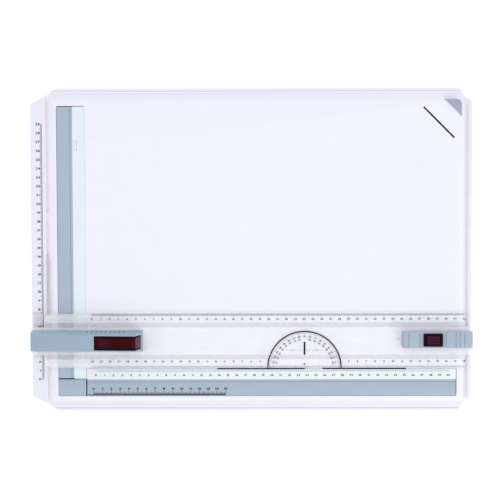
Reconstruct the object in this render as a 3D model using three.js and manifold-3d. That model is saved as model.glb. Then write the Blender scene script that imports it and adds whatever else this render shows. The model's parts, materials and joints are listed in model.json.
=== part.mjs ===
// Portable drawing board: a hollow board with two hinged paper clamps, fold-out legs,
// a parked corner clip, and a clear ruler that slides up the board on two grooves.
// Millimetres, +Z up. The origin is the middle of the footprint at table height.
// +X runs along the long side to the right and +Y away from the person drawing.

import * as THREE from 'three';
import { ConvexGeometry } from 'three/addons/geometries/ConvexGeometry.js';
import { mergeVertices } from 'three/addons/utils/BufferGeometryUtils.js';
import Module from 'manifold-3d';

const wasm = await Module();
wasm.setup();

// ---- Driving dimensions ----

const GAP = 0.3; // clearance between neighbouring pieces

// Board
const BOARD_LENGTH = 500;
const BOARD_WIDTH = 366;
const BASE_Z = 2; // underside of the base plate
const RIM_Z = 15;
const DECK_RISE = 3; // drawing deck above the rim
const WALL = 2.5;
const RIM_BEVEL = 1.5;
const LEFT_CORNER_CUT = 28.8; // along X
const RIGHT_CORNER_CUT = 15.4; // along X
const CORNER_CUT_DEPTH = 16.2; // along Y
const CORNER_CUT_TAPER_X = 0.6; // how much a cut shortens as the outline is drawn in
const CORNER_CUT_TAPER_Y = 0.5;
const RIB_THICKNESS = 1.6;
const RIB_PITCH = 70;

// Drawing deck, from the board's edges to the deck's foot
const DECK_LEFT = 23;
const DECK_RIGHT = 9.5;
const DECK_END = 10.5;
const DECK_SLOPE = 5;
const DECK_CORNER_CUT = 6;

// Grooves, from the board's edges to the middle of the groove
const GROOVE_WIDTH = 4;
const GROOVE_DEPTH = 5;
const LEFT_GROOVE_INSET = 19;
const RIGHT_GROOVE_INSET = 6.2;
const END_GROOVE_INSET = 4.6;
const END_GROOVE_WIDTH = 3;

// Base plate, its screws and feet
const COVER_THICKNESS = 2.5;
const COVER_SCREW_INSET_X = 70;
const COVER_SCREW_INSET_Y = 50;
const COVER_BOSS_RADIUS = 4;
const SCREW_RADIUS = 1.1;
const SCREW_HEAD_RADIUS = 2.4;
const SCREW_HEAD_HEIGHT = 1.4;
const SCREW_CLEARANCE = 0.3;
const SCREW_SLOT_LENGTH = 4;
const SCREW_SLOT_WIDTH = 0.8;
const SCREW_SLOT_DEPTH = 0.6;
const SCREW_HEAD_RECESS = 0.1; // a cover screw's head below the base plate's face
const FOOT_RADIUS = 8;
const FOOT_SEAT_DEPTH = 1.5;
const FOOT_INSET = 30;

// Fold-out legs
const LEG_LENGTH = 70;
const LEG_WIDTH = 26;
const LEG_THICKNESS = 8;
const LEG_TIP_LENGTH = 4;
const LEG_HINGE_Z = 6.5;
const LEG_INSET_X = 100;
const LEG_INSET_Y = 43;
const LEG_PIN_RADIUS = 1.5;
const LEG_TUB_WALL = 1.5;
const LEG_SIDE_GAP = 0.6;
const LEG_END_GAP = 0.8;
const LEG_TENON_INSET = 4; // leg's side to the tenon that holds its rubber tip
const LEG_TENON_SHARE = 0.6; // the tenon's length as a share of the tip's
const LEG_WINDOW_INSET = 6; // leg's side to the hollow in its underside
const LEG_WINDOW_END = 12; // leg's end to the hollow
const LEG_WINDOW_DEPTH = 5;

// Paper clamps: a rail that rocks on two pins and a clear lip that holds the sheet
const RAIL_BOTTOM = -4.2; // heights of the clamps are from the deck surface
const RAIL_TOP = 1;
const RAIL_RECESS_FLOOR = -5.1;
const RAIL_SIDE_GAP = 0.5;
const RAIL_PIVOT_Z = -2;
const LIP_BOTTOM = 0.3;
const LIP_TOP = 1;
const LIP_TONGUE = 3; // how far the lip reaches onto its rail
const SIDE_RAIL_INSET = 31; // board's left edge to the rail
const SIDE_RAIL_WIDTH = 17.7;
const SIDE_LIP_WIDTH = 13.3;
const SIDE_RAIL_TOP_INSET = 20.9;
const BOTTOM_RAIL_INSET = 18; // board's front edge to the rail
const BOTTOM_RAIL_WIDTH = 18.8;
const BOTTOM_LIP_WIDTH = 11.8;
const BOTTOM_RAIL_RIGHT_INSET = 18.6;
const CORNER_BLOCK_GAP = 1.4; // between the corner block and each rail
const CLAMP_PIN_RADIUS = 1;
const CLAMP_PIN_LENGTH = 18;
const CLAMP_PIN_INSET = 24; // rail end to the middle of its pin
const CLAMP_LUG_LENGTH = 6;
const CLAMP_LUG_WIDTH = 6;
const CLAMP_LUG_CROWN = 0.6; // lug above its pin's bore
const CLAMP_LUG_GAP = 0.5; // between a lug and its notch in the rail
const CLAMP_EDGE_CHAMFER = 0.6;
const CLAMP_SPRING_LENGTH = 60;
const CLAMP_SPRING_WIDTH = 5;
const CLAMP_SPRING_THICKNESS = 0.25;
const CLAMP_SPRING_SAG = 0.15; // spring below the middle of its space
const CLAMP_SPRING_SETBACK = 1; // pivot line to the spring
const PAPER_STOP_LENGTH = 9.6;
const PAPER_STOP_WIDTH = 2.6;
const PAPER_STOP_TOP = 1.3;
const PAPER_STOP_CLEARANCE = 0.4; // between a stop and its hole in the lip
const PAPER_STOP_GAP = 2.2; // from the rail
const PAPER_STOP_FRONT_INSET = 93; // board's front edge to the first stop
const PAPER_STOP_BACK_INSET = 64; // board's back edge to the second stop

// Corner clip, its parking seat and the slit that it is used in
const CLIP_INSET_X = 13.1; // board's right edge to the clip
const CLIP_INSET_Y = 12.9; // board's back edge to the clip
const CLIP_LENGTH = 18.7;
const CLIP_CORNER_CUT = 5;
const CLIP_BOTTOM = -1.2;
const CLIP_TOP = 1.2;
const CLIP_TONGUE_DEPTH = 6;
const CLIP_TONGUE_THICKNESS = 1;
const CLIP_TONGUE_LENGTH = 12;
const CLIP_TONGUE_SETBACK = 3.5; // slanted side to the middle of the tongue
const SLIT_INSET_X = 38.5; // board's right edge to the middle of the slit
const SLIT_INSET_Y = 39.3; // board's back edge to the middle of the slit
const SLIT_LENGTH = 49;
const SLIT_WIDTH = 1.2;

// Ruler blade; heights of the ruler are from the deck surface
const RULER_INSET = 81; // board's front edge to the middle of the ruler
const BLADE_LIFT = 2.4; // blade's underside above the deck
const BLADE_THICKNESS = 1.6;
const BLADE_HALF_WIDTH = 30.8;
const BLADE_BAND_HALF_WIDTH = 15.6; // raised middle band
const BLADE_BAND_SLOPE = 5.2;
const BLADE_BAND_RISE = 2;
const BLADE_EDGE_BEVEL = 0.8;
const BLADE_LEFT_INSET = 16;
const BLADE_RIGHT_INSET = 9;
const BAND_LEFT_INSET = 1.5;
const BAND_RIGHT_INSET = 0.4;
const BLADE_CORNER_RADIUS = 7;

// Guide rail in the left groove, and the runner in the right groove
const FIN_SIDE_GAP = 0.3;
const FIN_FLOOR_GAP = 0.4;
const FLANGE_THICKNESS = 1.5;
const GUIDE_WIDTH = 4.8;
const GUIDE_AHEAD = 95;
const GUIDE_BEHIND = 29.5;
const GUIDE_END_CUT = 1.6;
const CURSOR_WIDTH = 12;
const CURSOR_AHEAD = 32;
const CURSOR_BEHIND = 20;
const CURSOR_INSET = 1; // board's left edge to the cursor
const RISER_SET_BACK = 0.9; // the riser's side, in from the left head's foot
const RISER_OUTER_SET_BACK = 0.8; // the riser's outer end, in from the left head's
const RISER_INNER_SET_BACK = 0.6; // the riser's inner end, in from the guide's edge
const RUNNER_HALF_WIDTH = 10;
const RUNNER_INSET = 0.6; // board's right edge to the runner
const RUNNER_TAB = 13.5;
const RUNNER_TAB_THICKNESS = 1.4;

// Left head, its rocking button and brake
const HEAD_WALL = 1.8;
const LEFT_HEAD_INSET = 2;
const LEFT_HEAD_LENGTH = 125.5;
const LEFT_HEAD_OFFSET = 0.4; // from the middle of the ruler
const LEFT_HEAD_FOOT_HALF_WIDTH = 11.9;
const LEFT_HEAD_TOP_HALF_WIDTH = 8.9;
const LEFT_HEAD_END_RISE = 12; // top of the head at its outer end
const LEFT_HEAD_KNEE = 48; // outer end to the change of slope
const LEFT_HEAD_KNEE_RISE = 24;
const LEFT_HEAD_TOP_RISE = 29;
const LEFT_HEAD_NOSE = 5.5; // length of the sloped inner end
const LEFT_HEAD_NOSE_RISE = 8;
const LEFT_HEAD_END_DRAFT = 1.6; // how much narrower the head is at the top of its outer end
const LEFT_HEAD_NOSE_DRAFT = 0.4;
const LEFT_HEAD_KNEE_FLARE = 0.6;
const LEFT_BUTTON_LENGTH = 44.6;
const LEFT_BUTTON_HALF_WIDTH = 6.4;
const LEFT_BUTTON_BOTTOM = 14;
const LEFT_BUTTON_PROUD = 0.4;
const BEZEL_THICKNESS = 1;
const BEZEL_DEPTH = 2.3;
const BEZEL_PROUD = 0.2;
const BEZEL_BELOW_BUTTON = 0.7;
const BUTTON_PIVOT_Z = 20;
const BUTTON_PIVOT_SET_BACK = 2.4; // button's end to its pin
const BUTTON_PIN_RADIUS = 1;
const BUTTON_PIN_HALF_LENGTH = 8.9;
const BUTTON_PIN_END_GAP = 0.3;
const BUTTON_EAR = 5.6; // height and length of the ear round the pin
const BUTTON_EAR_HALF_WIDTH = 4;
const LEVER_HALF_WIDTH = 3;
const LEVER_THICKNESS = 1.8;
const LEVER_WEB_START = 3; // from the button's outer end
const LEVER_REACH = 10; // from the button's outer end
const BRAKE_INSET = 10; // board's left edge to the brake shoe
const BRAKE_SHOE_RADIUS = 3.2;
const BRAKE_STEM_RADIUS = 2.5;
const BRAKE_WINDOW_GAP = 1;
const BRAKE_STEM_SEAT = 0.8; // top of the riser to the foot of the stem

// Right head and its push button
const RIGHT_HEAD_INSET = 2.8;
const RIGHT_HEAD_LENGTH = 77.6;
const RIGHT_HEAD_OFFSET = 1.9;
const RIGHT_HEAD_HALF_WIDTH = 9.2;
const RIGHT_HEAD_TOP_RISE = 14;
const RIGHT_HEAD_DRAFT = 1.4;
const RIGHT_HEAD_SIDE_DRAFT = 0.4;
const RIGHT_BUTTON_INSET = 36.3; // board's right edge to the button
const RIGHT_BUTTON_LENGTH = 21;
const RIGHT_BUTTON_HALF_WIDTH = 7;
const RIGHT_BUTTON_TOP = 16.5;
const RIGHT_BUTTON_BOTTOM = 9.5;
const RIGHT_BUTTON_TRAVEL = 2;
const RIGHT_STEM_RADIUS = 2.5;
const RIGHT_SHOE_RADIUS = 5;
const RIGHT_SHOE_REST = 0.4; // from the deck, once the button is pressed

// Head screws
const HEAD_BOSS_BITE = 0.2; // how far a boss runs into the head's side wall
const HEAD_BOSS_RADIUS = 2.5;
const HEAD_BOSS_TOP = 11.6;
const SCREW_TIP_GAP = 0.5;
const SCREW_HOLE_CAP = 0.6; // boss left above a left head's screw hole
const LEFT_OUTER_SCREW_INSET = 13.5; // board's left edge to the screw
const LEFT_INNER_SCREW_INSET = 30; // left head's inner end to the screw
const RIGHT_OUTER_SCREW_INSET = 16; // board's right edge to the screw
const RIGHT_INNER_SCREW_INSET = 9; // right head's inner end to the screw
const LEFT_OUTER_SCREW_HEAD = 0.2; // heights of the screws' heads
const INNER_SCREW_HEAD = 2.7;

// Coil springs
const SPRING_RADIUS = 3.9;
const SPRING_WIRE_RADIUS = 0.35;
const SPRING_FACET_MARGIN = 0.95; // a faceted wire's radius as a share of the round wire's
const LEFT_SPRING_INSET = 9; // button's inner end to its spring
const LEFT_SPRING_TURNS = 5;
const RIGHT_SPRING_TURNS = 2;

// ---- Derived sizes ----

const LEFT = -BOARD_LENGTH / 2;
const RIGHT = BOARD_LENGTH / 2;
const FRONT = -BOARD_WIDTH / 2;
const BACK = BOARD_WIDTH / 2;
const DECK_Z = RIM_Z + DECK_RISE;
const COVER_TOP = BASE_Z + COVER_THICKNESS;
const RIM_LEVEL = -DECK_RISE; // the rim, seen from the deck surface

const SIDE_RAIL_LEFT = LEFT + SIDE_RAIL_INSET;
const SIDE_RAIL_RIGHT = SIDE_RAIL_LEFT + SIDE_RAIL_WIDTH;
const SIDE_LIP_RIGHT = SIDE_RAIL_RIGHT + SIDE_LIP_WIDTH;
const BOTTOM_RAIL_FRONT = FRONT + BOTTOM_RAIL_INSET;
const BOTTOM_RAIL_BACK = BOTTOM_RAIL_FRONT + BOTTOM_RAIL_WIDTH;
const BOTTOM_LIP_BACK = BOTTOM_RAIL_BACK + BOTTOM_LIP_WIDTH;
const SIDE_RAIL_FRONT = BOTTOM_RAIL_BACK + CORNER_BLOCK_GAP;
const SIDE_RAIL_BACK = BACK - SIDE_RAIL_TOP_INSET;
const BOTTOM_RAIL_LEFT = SIDE_LIP_RIGHT + CORNER_BLOCK_GAP;
const BOTTOM_RAIL_RIGHT = RIGHT - BOTTOM_RAIL_RIGHT_INSET;

const RULER_Y = FRONT + RULER_INSET;
const BLADE_TOP = BLADE_LIFT + BLADE_THICKNESS;
const BAND_BOTTOM = BLADE_LIFT + BLADE_BAND_RISE;
const BAND_TOP = BLADE_TOP + BLADE_BAND_RISE;
const HEAD_BOTTOM = BAND_TOP + GAP;
const FIN_BOTTOM = RIM_LEVEL - GROOVE_DEPTH + FIN_FLOOR_GAP;
const FLANGE_BOTTOM = RIM_LEVEL + GAP;
const FLANGE_TOP = FLANGE_BOTTOM + FLANGE_THICKNESS;
const RISER_TOP = BAND_BOTTOM - GAP;
const CLAMP_LUG_TOP = DECK_Z + RAIL_PIVOT_Z + CLAMP_PIN_RADIUS + SCREW_CLEARANCE + CLAMP_LUG_CROWN;

const RISER_HALF_WIDTH = LEFT_HEAD_FOOT_HALF_WIDTH - RISER_SET_BACK;
const HEAD_SCREW_SIDE = LEFT_HEAD_FOOT_HALF_WIDTH - HEAD_WALL - HEAD_BOSS_RADIUS + HEAD_BOSS_BITE;
const LEFT_HEAD_LEFT = LEFT + LEFT_HEAD_INSET;
const LEFT_HEAD_RIGHT = LEFT_HEAD_LEFT + LEFT_HEAD_LENGTH;
const LEFT_HEAD_CREST = LEFT_HEAD_RIGHT - LEFT_HEAD_NOSE;
const BRAKE_X = LEFT + BRAKE_INSET;
const LEFT_BUTTON_RIGHT = LEFT_HEAD_CREST;
const LEFT_BUTTON_LEFT = LEFT_BUTTON_RIGHT - LEFT_BUTTON_LENGTH;
const BUTTON_PIVOT_X = LEFT_BUTTON_LEFT - BUTTON_PIVOT_SET_BACK;
const RIGHT_HEAD_RIGHT = RIGHT - RIGHT_HEAD_INSET;
const RIGHT_HEAD_LEFT = RIGHT_HEAD_RIGHT - RIGHT_HEAD_LENGTH;
const RIGHT_BUTTON_X = RIGHT - RIGHT_BUTTON_INSET - RIGHT_BUTTON_LENGTH / 2;
const LEVER_BOTTOM = HEAD_BOTTOM + GAP;
const LEVER_TOP = LEVER_BOTTOM + LEVER_THICKNESS;

// ---- Solid helpers ----

function solidOf(geometry) {
  const bare = geometry.index ? geometry.toNonIndexed() : geometry.clone();
  bare.deleteAttribute('normal');
  bare.deleteAttribute('uv');
  const merged = mergeVertices(bare, 1e-4);
  const mesh = new wasm.Mesh({
    numProp: 3,
    vertProperties: new Float32Array(merged.attributes.position.array),
    triVerts: new Uint32Array(merged.index.array),
  });
  return new wasm.Manifold(mesh);
}

function geometryOf(solid) {
  const mesh = solid.getMesh();
  const geometry = new THREE.BufferGeometry();
  geometry.setAttribute('position', new THREE.BufferAttribute(mesh.vertProperties, 3));
  geometry.setIndex(new THREE.BufferAttribute(mesh.triVerts, 1));
  geometry.computeVertexNormals();
  return geometry;
}

function box(x0, x1, y0, y1, z0, z1) {
  const geometry = new THREE.BoxGeometry(x1 - x0, y1 - y0, z1 - z0);
  geometry.translate((x0 + x1) / 2, (y0 + y1) / 2, (z0 + z1) / 2);
  return solidOf(geometry);
}

function hull(points) {
  return solidOf(new ConvexGeometry(points.map(([x, y, z]) => new THREE.Vector3(x, y, z))));
}

function extruded(points, depth) {
  const shape = new THREE.Shape(points.map(([u, v]) => new THREE.Vector2(u, v)));
  return new THREE.ExtrudeGeometry(shape, { depth, bevelEnabled: false, curveSegments: 6 });
}

// A flat outline in X and Y, standing from z0 to z1.
function plate(points, z0, z1) {
  const geometry = extruded(points, z1 - z0);
  geometry.translate(0, 0, z0);
  return solidOf(geometry);
}

// A section in Y and Z, running from x0 to x1.
function barAlongX(points, x0, x1) {
  const geometry = extruded(points, x1 - x0);
  const turn = new THREE.Matrix4().makeBasis(
    new THREE.Vector3(0, 1, 0), new THREE.Vector3(0, 0, 1), new THREE.Vector3(1, 0, 0));
  geometry.applyMatrix4(turn);
  geometry.translate(x0, 0, 0);
  return solidOf(geometry);
}

// A section in X and Z, running from y0 to y1.
function barAlongY(points, y0, y1) {
  const geometry = extruded(points, y1 - y0);
  const turn = new THREE.Matrix4().makeBasis(
    new THREE.Vector3(1, 0, 0), new THREE.Vector3(0, 0, 1), new THREE.Vector3(0, -1, 0));
  geometry.applyMatrix4(turn);
  geometry.translate(0, y1, 0);
  return solidOf(geometry);
}

function postAt(x, y, radius, z0, z1, sides = 20) {
  const geometry = new THREE.CylinderGeometry(radius, radius, z1 - z0, sides);
  geometry.rotateX(Math.PI / 2);
  geometry.translate(x, y, (z0 + z1) / 2);
  return solidOf(geometry);
}

function rodAlongX(x0, x1, y, z, radius) {
  const geometry = new THREE.CylinderGeometry(radius, radius, x1 - x0, 20);
  geometry.rotateZ(Math.PI / 2);
  geometry.translate((x0 + x1) / 2, y, z);
  return solidOf(geometry);
}

function rodAlongY(y0, y1, x, z, radius) {
  const geometry = new THREE.CylinderGeometry(radius, radius, y1 - y0, 20);
  geometry.translate(x, (y0 + y1) / 2, z);
  return solidOf(geometry);
}

function fuse(...solids) {
  return solids.reduce((whole, next) => whole.add(next));
}

function carve(solid, ...cuts) {
  return cuts.reduce((whole, next) => whole.subtract(next), solid);
}

// A screw with its head at the bottom and its tip up.
function screwAt(x, y, headBottom, tip) {
  const neck = headBottom + SCREW_HEAD_HEIGHT;
  const head = postAt(x, y, SCREW_HEAD_RADIUS, headBottom, neck);
  const slot = box(x - SCREW_SLOT_LENGTH / 2, x + SCREW_SLOT_LENGTH / 2,
    y - SCREW_SLOT_WIDTH / 2, y + SCREW_SLOT_WIDTH / 2, headBottom - 1, headBottom + SCREW_SLOT_DEPTH);
  return fuse(carve(head, slot), postAt(x, y, SCREW_RADIUS, neck - 0.2, tip, 12));
}

class Helix extends THREE.Curve {
  constructor(radius, height, turns) {
    super();
    this.radius = radius;
    this.height = height;
    this.turns = turns;
  }

  getPoint(t, target = new THREE.Vector3()) {
    const angle = 2 * Math.PI * this.turns * t;
    return target.set(
      this.radius * Math.cos(angle), this.radius * Math.sin(angle), this.height * t);
  }
}

// A coil spring standing at (x, y) between two heights.
function coilSpring(x, y, z0, z1, turns) {
  const height = z1 - z0 - 2 * SPRING_WIRE_RADIUS;
  const section = new THREE.Shape();
  section.absarc(0, 0, SPRING_WIRE_RADIUS * SPRING_FACET_MARGIN, 0, 2 * Math.PI);
  const geometry = new THREE.ExtrudeGeometry(section, {
    steps: 14 * turns,
    curveSegments: 3,
    bevelEnabled: false,
    extrudePath: new Helix(SPRING_RADIUS, height, turns),
  });
  geometry.translate(x, y, z0 + SPRING_WIRE_RADIUS);
  return solidOf(geometry);
}

// ---- Finishes ----

function finish(color, roughness, metalness = 0, opacity = 1) {
  return new THREE.MeshStandardMaterial({
    color, roughness, metalness, opacity, transparent: opacity < 1,
  });
}

const WHITE_PLASTIC = finish(0xf3f3fe, 0.45);
const GREY_PLASTIC = finish(0xa9bacb, 0.4);
const CLEAR_PLASTIC = finish(0xeaf2f8, 0.1, 0, 0.35);
const MAROON_PLASTIC = finish(0x3a0812, 0.25);
const BLACK_PLASTIC = finish(0x0a0709, 0.35);
const RUBBER = finish(0x2b2b2e, 0.9);
const STEEL = finish(0xb8bcc2, 0.3, 1);

function addPiece(group, name, solid, material) {
  const mesh = new THREE.Mesh(geometryOf(solid), material.clone());
  mesh.name = name;
  group.add(mesh);
  return mesh;
}

// ---- Board ----

// The board's outline, drawn in by a margin all round, with its four cut corners.
function boardOutline(margin) {
  const left = LEFT + margin;
  const right = RIGHT - margin;
  const front = FRONT + margin;
  const back = BACK - margin;
  const leftCut = LEFT_CORNER_CUT - margin * CORNER_CUT_TAPER_X;
  const rightCut = RIGHT_CORNER_CUT - margin * CORNER_CUT_TAPER_X;
  const depth = CORNER_CUT_DEPTH - margin * CORNER_CUT_TAPER_Y;
  return [
    [left + leftCut, front], [right - rightCut, front], [right, front + depth],
    [right, back - depth], [right - rightCut, back], [left + leftCut, back],
    [left, back - depth], [left, front + depth],
  ];
}

// The deck's outline at its foot (step 0) or at its top (step = slope).
function deckCorners(step, z) {
  const left = LEFT + DECK_LEFT + step;
  const right = RIGHT - DECK_RIGHT - step;
  const front = FRONT + DECK_END + step;
  const back = BACK - DECK_END - step;
  return [
    [left, front, z], [right, front, z], [right, back - DECK_CORNER_CUT, z],
    [right - DECK_CORNER_CUT, back, z], [left, back, z],
  ];
}

function deckBlock(inset, top, bottom) {
  return hull([...deckCorners(inset, bottom), ...deckCorners(DECK_SLOPE + inset, top)]);
}

// The recess for both clamps and the corner block, grown by a margin, down to a floor.
function clampRecess(margin, floor) {
  const top = DECK_Z + 5;
  const gap = RAIL_SIDE_GAP + margin;
  const side = box(
    SIDE_RAIL_LEFT - gap, SIDE_RAIL_RIGHT + gap,
    BOTTOM_RAIL_FRONT - gap, SIDE_RAIL_BACK + gap, floor, top);
  const bottom = box(
    SIDE_RAIL_LEFT - gap, BOTTOM_RAIL_RIGHT + gap,
    BOTTOM_RAIL_FRONT - gap, BOTTOM_RAIL_BACK + gap, floor, top);
  const corner = box(
    SIDE_RAIL_LEFT - gap, SIDE_LIP_RIGHT + gap,
    BOTTOM_RAIL_FRONT - gap, BOTTOM_RAIL_BACK + gap, floor, top);
  return fuse(side, bottom, corner);
}

// The four ruler grooves, widened by a margin, down to a floor.
function grooves(margin, floor) {
  const half = GROOVE_WIDTH / 2 + margin;
  const endHalf = END_GROOVE_WIDTH / 2 + margin;
  const top = RIM_Z + 5;
  const leftX = LEFT + LEFT_GROOVE_INSET;
  const rightX = RIGHT - RIGHT_GROOVE_INSET;
  const backY = BACK - END_GROOVE_INSET;
  const frontY = FRONT + END_GROOVE_INSET;
  return fuse(
    box(leftX - half, leftX + half, FRONT - 1, BACK + 1, floor, top),
    box(rightX - half, rightX + half, FRONT - 1, BACK + 1, floor, top),
    box(LEFT - 1, RIGHT + 1, backY - endHalf, backY + endHalf, floor, top),
    box(LEFT - 1, RIGHT + 1, frontY - endHalf, frontY + endHalf, floor, top));
}

function clipOutline(margin) {
  const right = RIGHT - CLIP_INSET_X + margin;
  const back = BACK - CLIP_INSET_Y + margin;
  const reach = CLIP_LENGTH + margin * (2 + Math.SQRT2);
  return [
    [right - reach, back], [right, back - reach],
    [right, back - CLIP_CORNER_CUT], [right - CLIP_CORNER_CUT, back],
  ];
}

// A thin upright blade at 45 degrees, centred on (x, y).
function slantedBlade(x, y, length, thickness, z0, z1) {
  const along = length / 2 / Math.SQRT2;
  const across = thickness / 2 / Math.SQRT2;
  return plate([
    [x - along - across, y + along - across], [x + along - across, y - along - across],
    [x + along + across, y - along + across], [x - along + across, y + along + across],
  ], z0, z1);
}

function clipTongue(margin, bottom, top) {
  const step = (CLIP_LENGTH / 2 - CLIP_TONGUE_SETBACK / Math.SQRT2);
  const x = RIGHT - CLIP_INSET_X - step;
  const y = BACK - CLIP_INSET_Y - step;
  return slantedBlade(x, y, CLIP_TONGUE_LENGTH + 2 * margin,
    CLIP_TONGUE_THICKNESS + 2 * margin, bottom, top);
}

const COVER_SCREWS = [
  [LEFT + COVER_SCREW_INSET_X, FRONT + COVER_SCREW_INSET_Y],
  [0, FRONT + COVER_SCREW_INSET_Y],
  [RIGHT - COVER_SCREW_INSET_X, FRONT + COVER_SCREW_INSET_Y],
  [LEFT + COVER_SCREW_INSET_X, 0],
  [RIGHT - COVER_SCREW_INSET_X, 0],
  [LEFT + COVER_SCREW_INSET_X, BACK - COVER_SCREW_INSET_Y],
  [0, BACK - COVER_SCREW_INSET_Y],
  [RIGHT - COVER_SCREW_INSET_X, BACK - COVER_SCREW_INSET_Y],
];
const LEG_XS = { left: LEFT + LEG_INSET_X, right: RIGHT - LEG_INSET_X };
const LEG_HINGE_Y = BACK - LEG_INSET_Y;

// The tub over one leg, grown outwards by a margin.
function legTub(x, margin) {
  const half = LEG_WIDTH / 2 + LEG_SIDE_GAP + margin;
  const back = LEG_HINGE_Y + LEG_THICKNESS / 2 + LEG_END_GAP + margin;
  const front = LEG_HINGE_Y - LEG_LENGTH - LEG_END_GAP - margin;
  const top = LEG_HINGE_Z + LEG_THICKNESS / 2 + LEG_END_GAP + margin;
  return box(x - half, x + half, front, back, BASE_Z, top);
}

// Two lugs on a clamp's recess floor hold its pins.
function clampLug(x, y, alongY) {
  const halfX = (alongY ? CLAMP_LUG_WIDTH : CLAMP_LUG_LENGTH) / 2;
  const halfY = (alongY ? CLAMP_LUG_LENGTH : CLAMP_LUG_WIDTH) / 2;
  return box(x - halfX, x + halfX, y - halfY, y + halfY, DECK_Z + RAIL_RECESS_FLOOR - 0.5,
    CLAMP_LUG_TOP);
}

const SIDE_PIVOT_X = SIDE_RAIL_LEFT + SIDE_RAIL_WIDTH / 2;
const BOTTOM_PIVOT_Y = BOTTOM_RAIL_FRONT + BOTTOM_RAIL_WIDTH / 2;
const SIDE_PIN_YS = [SIDE_RAIL_FRONT + CLAMP_PIN_INSET, SIDE_RAIL_BACK - CLAMP_PIN_INSET];
const BOTTOM_PIN_XS = [BOTTOM_RAIL_LEFT + CLAMP_PIN_INSET, BOTTOM_RAIL_RIGHT - CLAMP_PIN_INSET];
const CLAMP_PIVOT_Z = DECK_Z + RAIL_PIVOT_Z;

function sideClampRod(y, length, radius) {
  return rodAlongY(y - length / 2, y + length / 2, SIDE_PIVOT_X, CLAMP_PIVOT_Z, radius);
}

function bottomClampRod(x, length, radius) {
  return rodAlongX(x - length / 2, x + length / 2, BOTTOM_PIVOT_Y, CLAMP_PIVOT_Z, radius);
}

const PAPER_STOP_YS = [FRONT + PAPER_STOP_FRONT_INSET, BACK - PAPER_STOP_BACK_INSET];

function paperStop(y, margin) {
  const x = SIDE_RAIL_RIGHT + PAPER_STOP_GAP;
  const half = PAPER_STOP_LENGTH / 2 + margin;
  return box(x - margin, x + PAPER_STOP_WIDTH + margin, y - half, y + half,
    DECK_Z - 0.5, DECK_Z + PAPER_STOP_TOP);
}

function topShell() {
  const slab = plate(boardOutline(0), BASE_Z, RIM_Z - RIM_BEVEL);
  const rim = hull([
    ...boardOutline(0).map(([x, y]) => [x, y, RIM_Z - RIM_BEVEL]),
    ...boardOutline(RIM_BEVEL).map(([x, y]) => [x, y, RIM_Z]),
  ]);
  const outside = fuse(slab, rim, deckBlock(0, DECK_Z, RIM_Z - 0.1));
  const hollow = fuse(
    plate(boardOutline(WALL), BASE_Z - 1, RIM_Z - WALL),
    deckBlock(WALL, DECK_Z - WALL, RIM_Z - WALL - 0.1));
  const troughs = fuse(
    clampRecess(WALL, DECK_Z + RAIL_RECESS_FLOOR - WALL),
    grooves(WALL, RIM_Z - GROOVE_DEPTH - WALL),
    clipTongue(WALL, DECK_Z - CLIP_TONGUE_DEPTH - GAP - WALL, DECK_Z));
  const bosses = fuse(...COVER_SCREWS.map(([x, y]) =>
    postAt(x, y, COVER_BOSS_RADIUS, COVER_TOP + GAP, DECK_Z)));
  const ribs = fuse(...[-1, 0, 1].map((step) => {
    const y = step * RIB_PITCH - RIB_PITCH / 4;
    return box(LEFT, RIGHT, y - RIB_THICKNESS / 2, y + RIB_THICKNESS / 2, COVER_TOP + GAP, DECK_Z);
  }));
  const inner = carve(hollow, troughs, bosses, ribs);
  const lugs = fuse(
    ...SIDE_PIN_YS.map((y) => clampLug(SIDE_PIVOT_X, y, true)),
    ...BOTTOM_PIN_XS.map((x) => clampLug(x, BOTTOM_PIVOT_Y, false)));
  const body = carve(outside, inner, grooves(0, RIM_Z - GROOVE_DEPTH),
    clampRecess(0, DECK_Z + RAIL_RECESS_FLOOR));
  const withLugs = fuse(body, lugs, ...PAPER_STOP_YS.map((y) => paperStop(y, 0)));
  const pinRadius = CLAMP_PIN_RADIUS + SCREW_CLEARANCE;
  return carve(withLugs,
    ...SIDE_PIN_YS.map((y) => sideClampRod(y, CLAMP_PIN_LENGTH + 1, pinRadius)),
    ...BOTTOM_PIN_XS.map((x) => bottomClampRod(x, CLAMP_PIN_LENGTH + 1, pinRadius)),
    ...COVER_SCREWS.map(([x, y]) =>
      postAt(x, y, SCREW_RADIUS + SCREW_CLEARANCE, BASE_Z, DECK_Z - WALL - 1, 12)),
    ...Object.values(LEG_XS).map((x) => legTub(x, LEG_TUB_WALL + GAP)),
    plate(clipOutline(GAP), DECK_Z + CLIP_BOTTOM - GAP, DECK_Z + 5),
    clipTongue(GAP, DECK_Z - CLIP_TONGUE_DEPTH - GAP, DECK_Z),
    slantedBlade(RIGHT - SLIT_INSET_X, BACK - SLIT_INSET_Y, SLIT_LENGTH, SLIT_WIDTH,
      DECK_Z - WALL - 1, DECK_Z + 1));
}

function footCentres() {
  return [
    [LEFT + FOOT_INSET, FRONT + FOOT_INSET], [RIGHT - FOOT_INSET, FRONT + FOOT_INSET],
    [LEFT + FOOT_INSET, BACK - FOOT_INSET], [RIGHT - FOOT_INSET, BACK - FOOT_INSET],
  ];
}

function legPin(x, radius, extra) {
  const half = LEG_WIDTH / 2 + LEG_SIDE_GAP + LEG_TUB_WALL + extra;
  return rodAlongX(x - half, x + half, LEG_HINGE_Y, LEG_HINGE_Z, radius);
}

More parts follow.
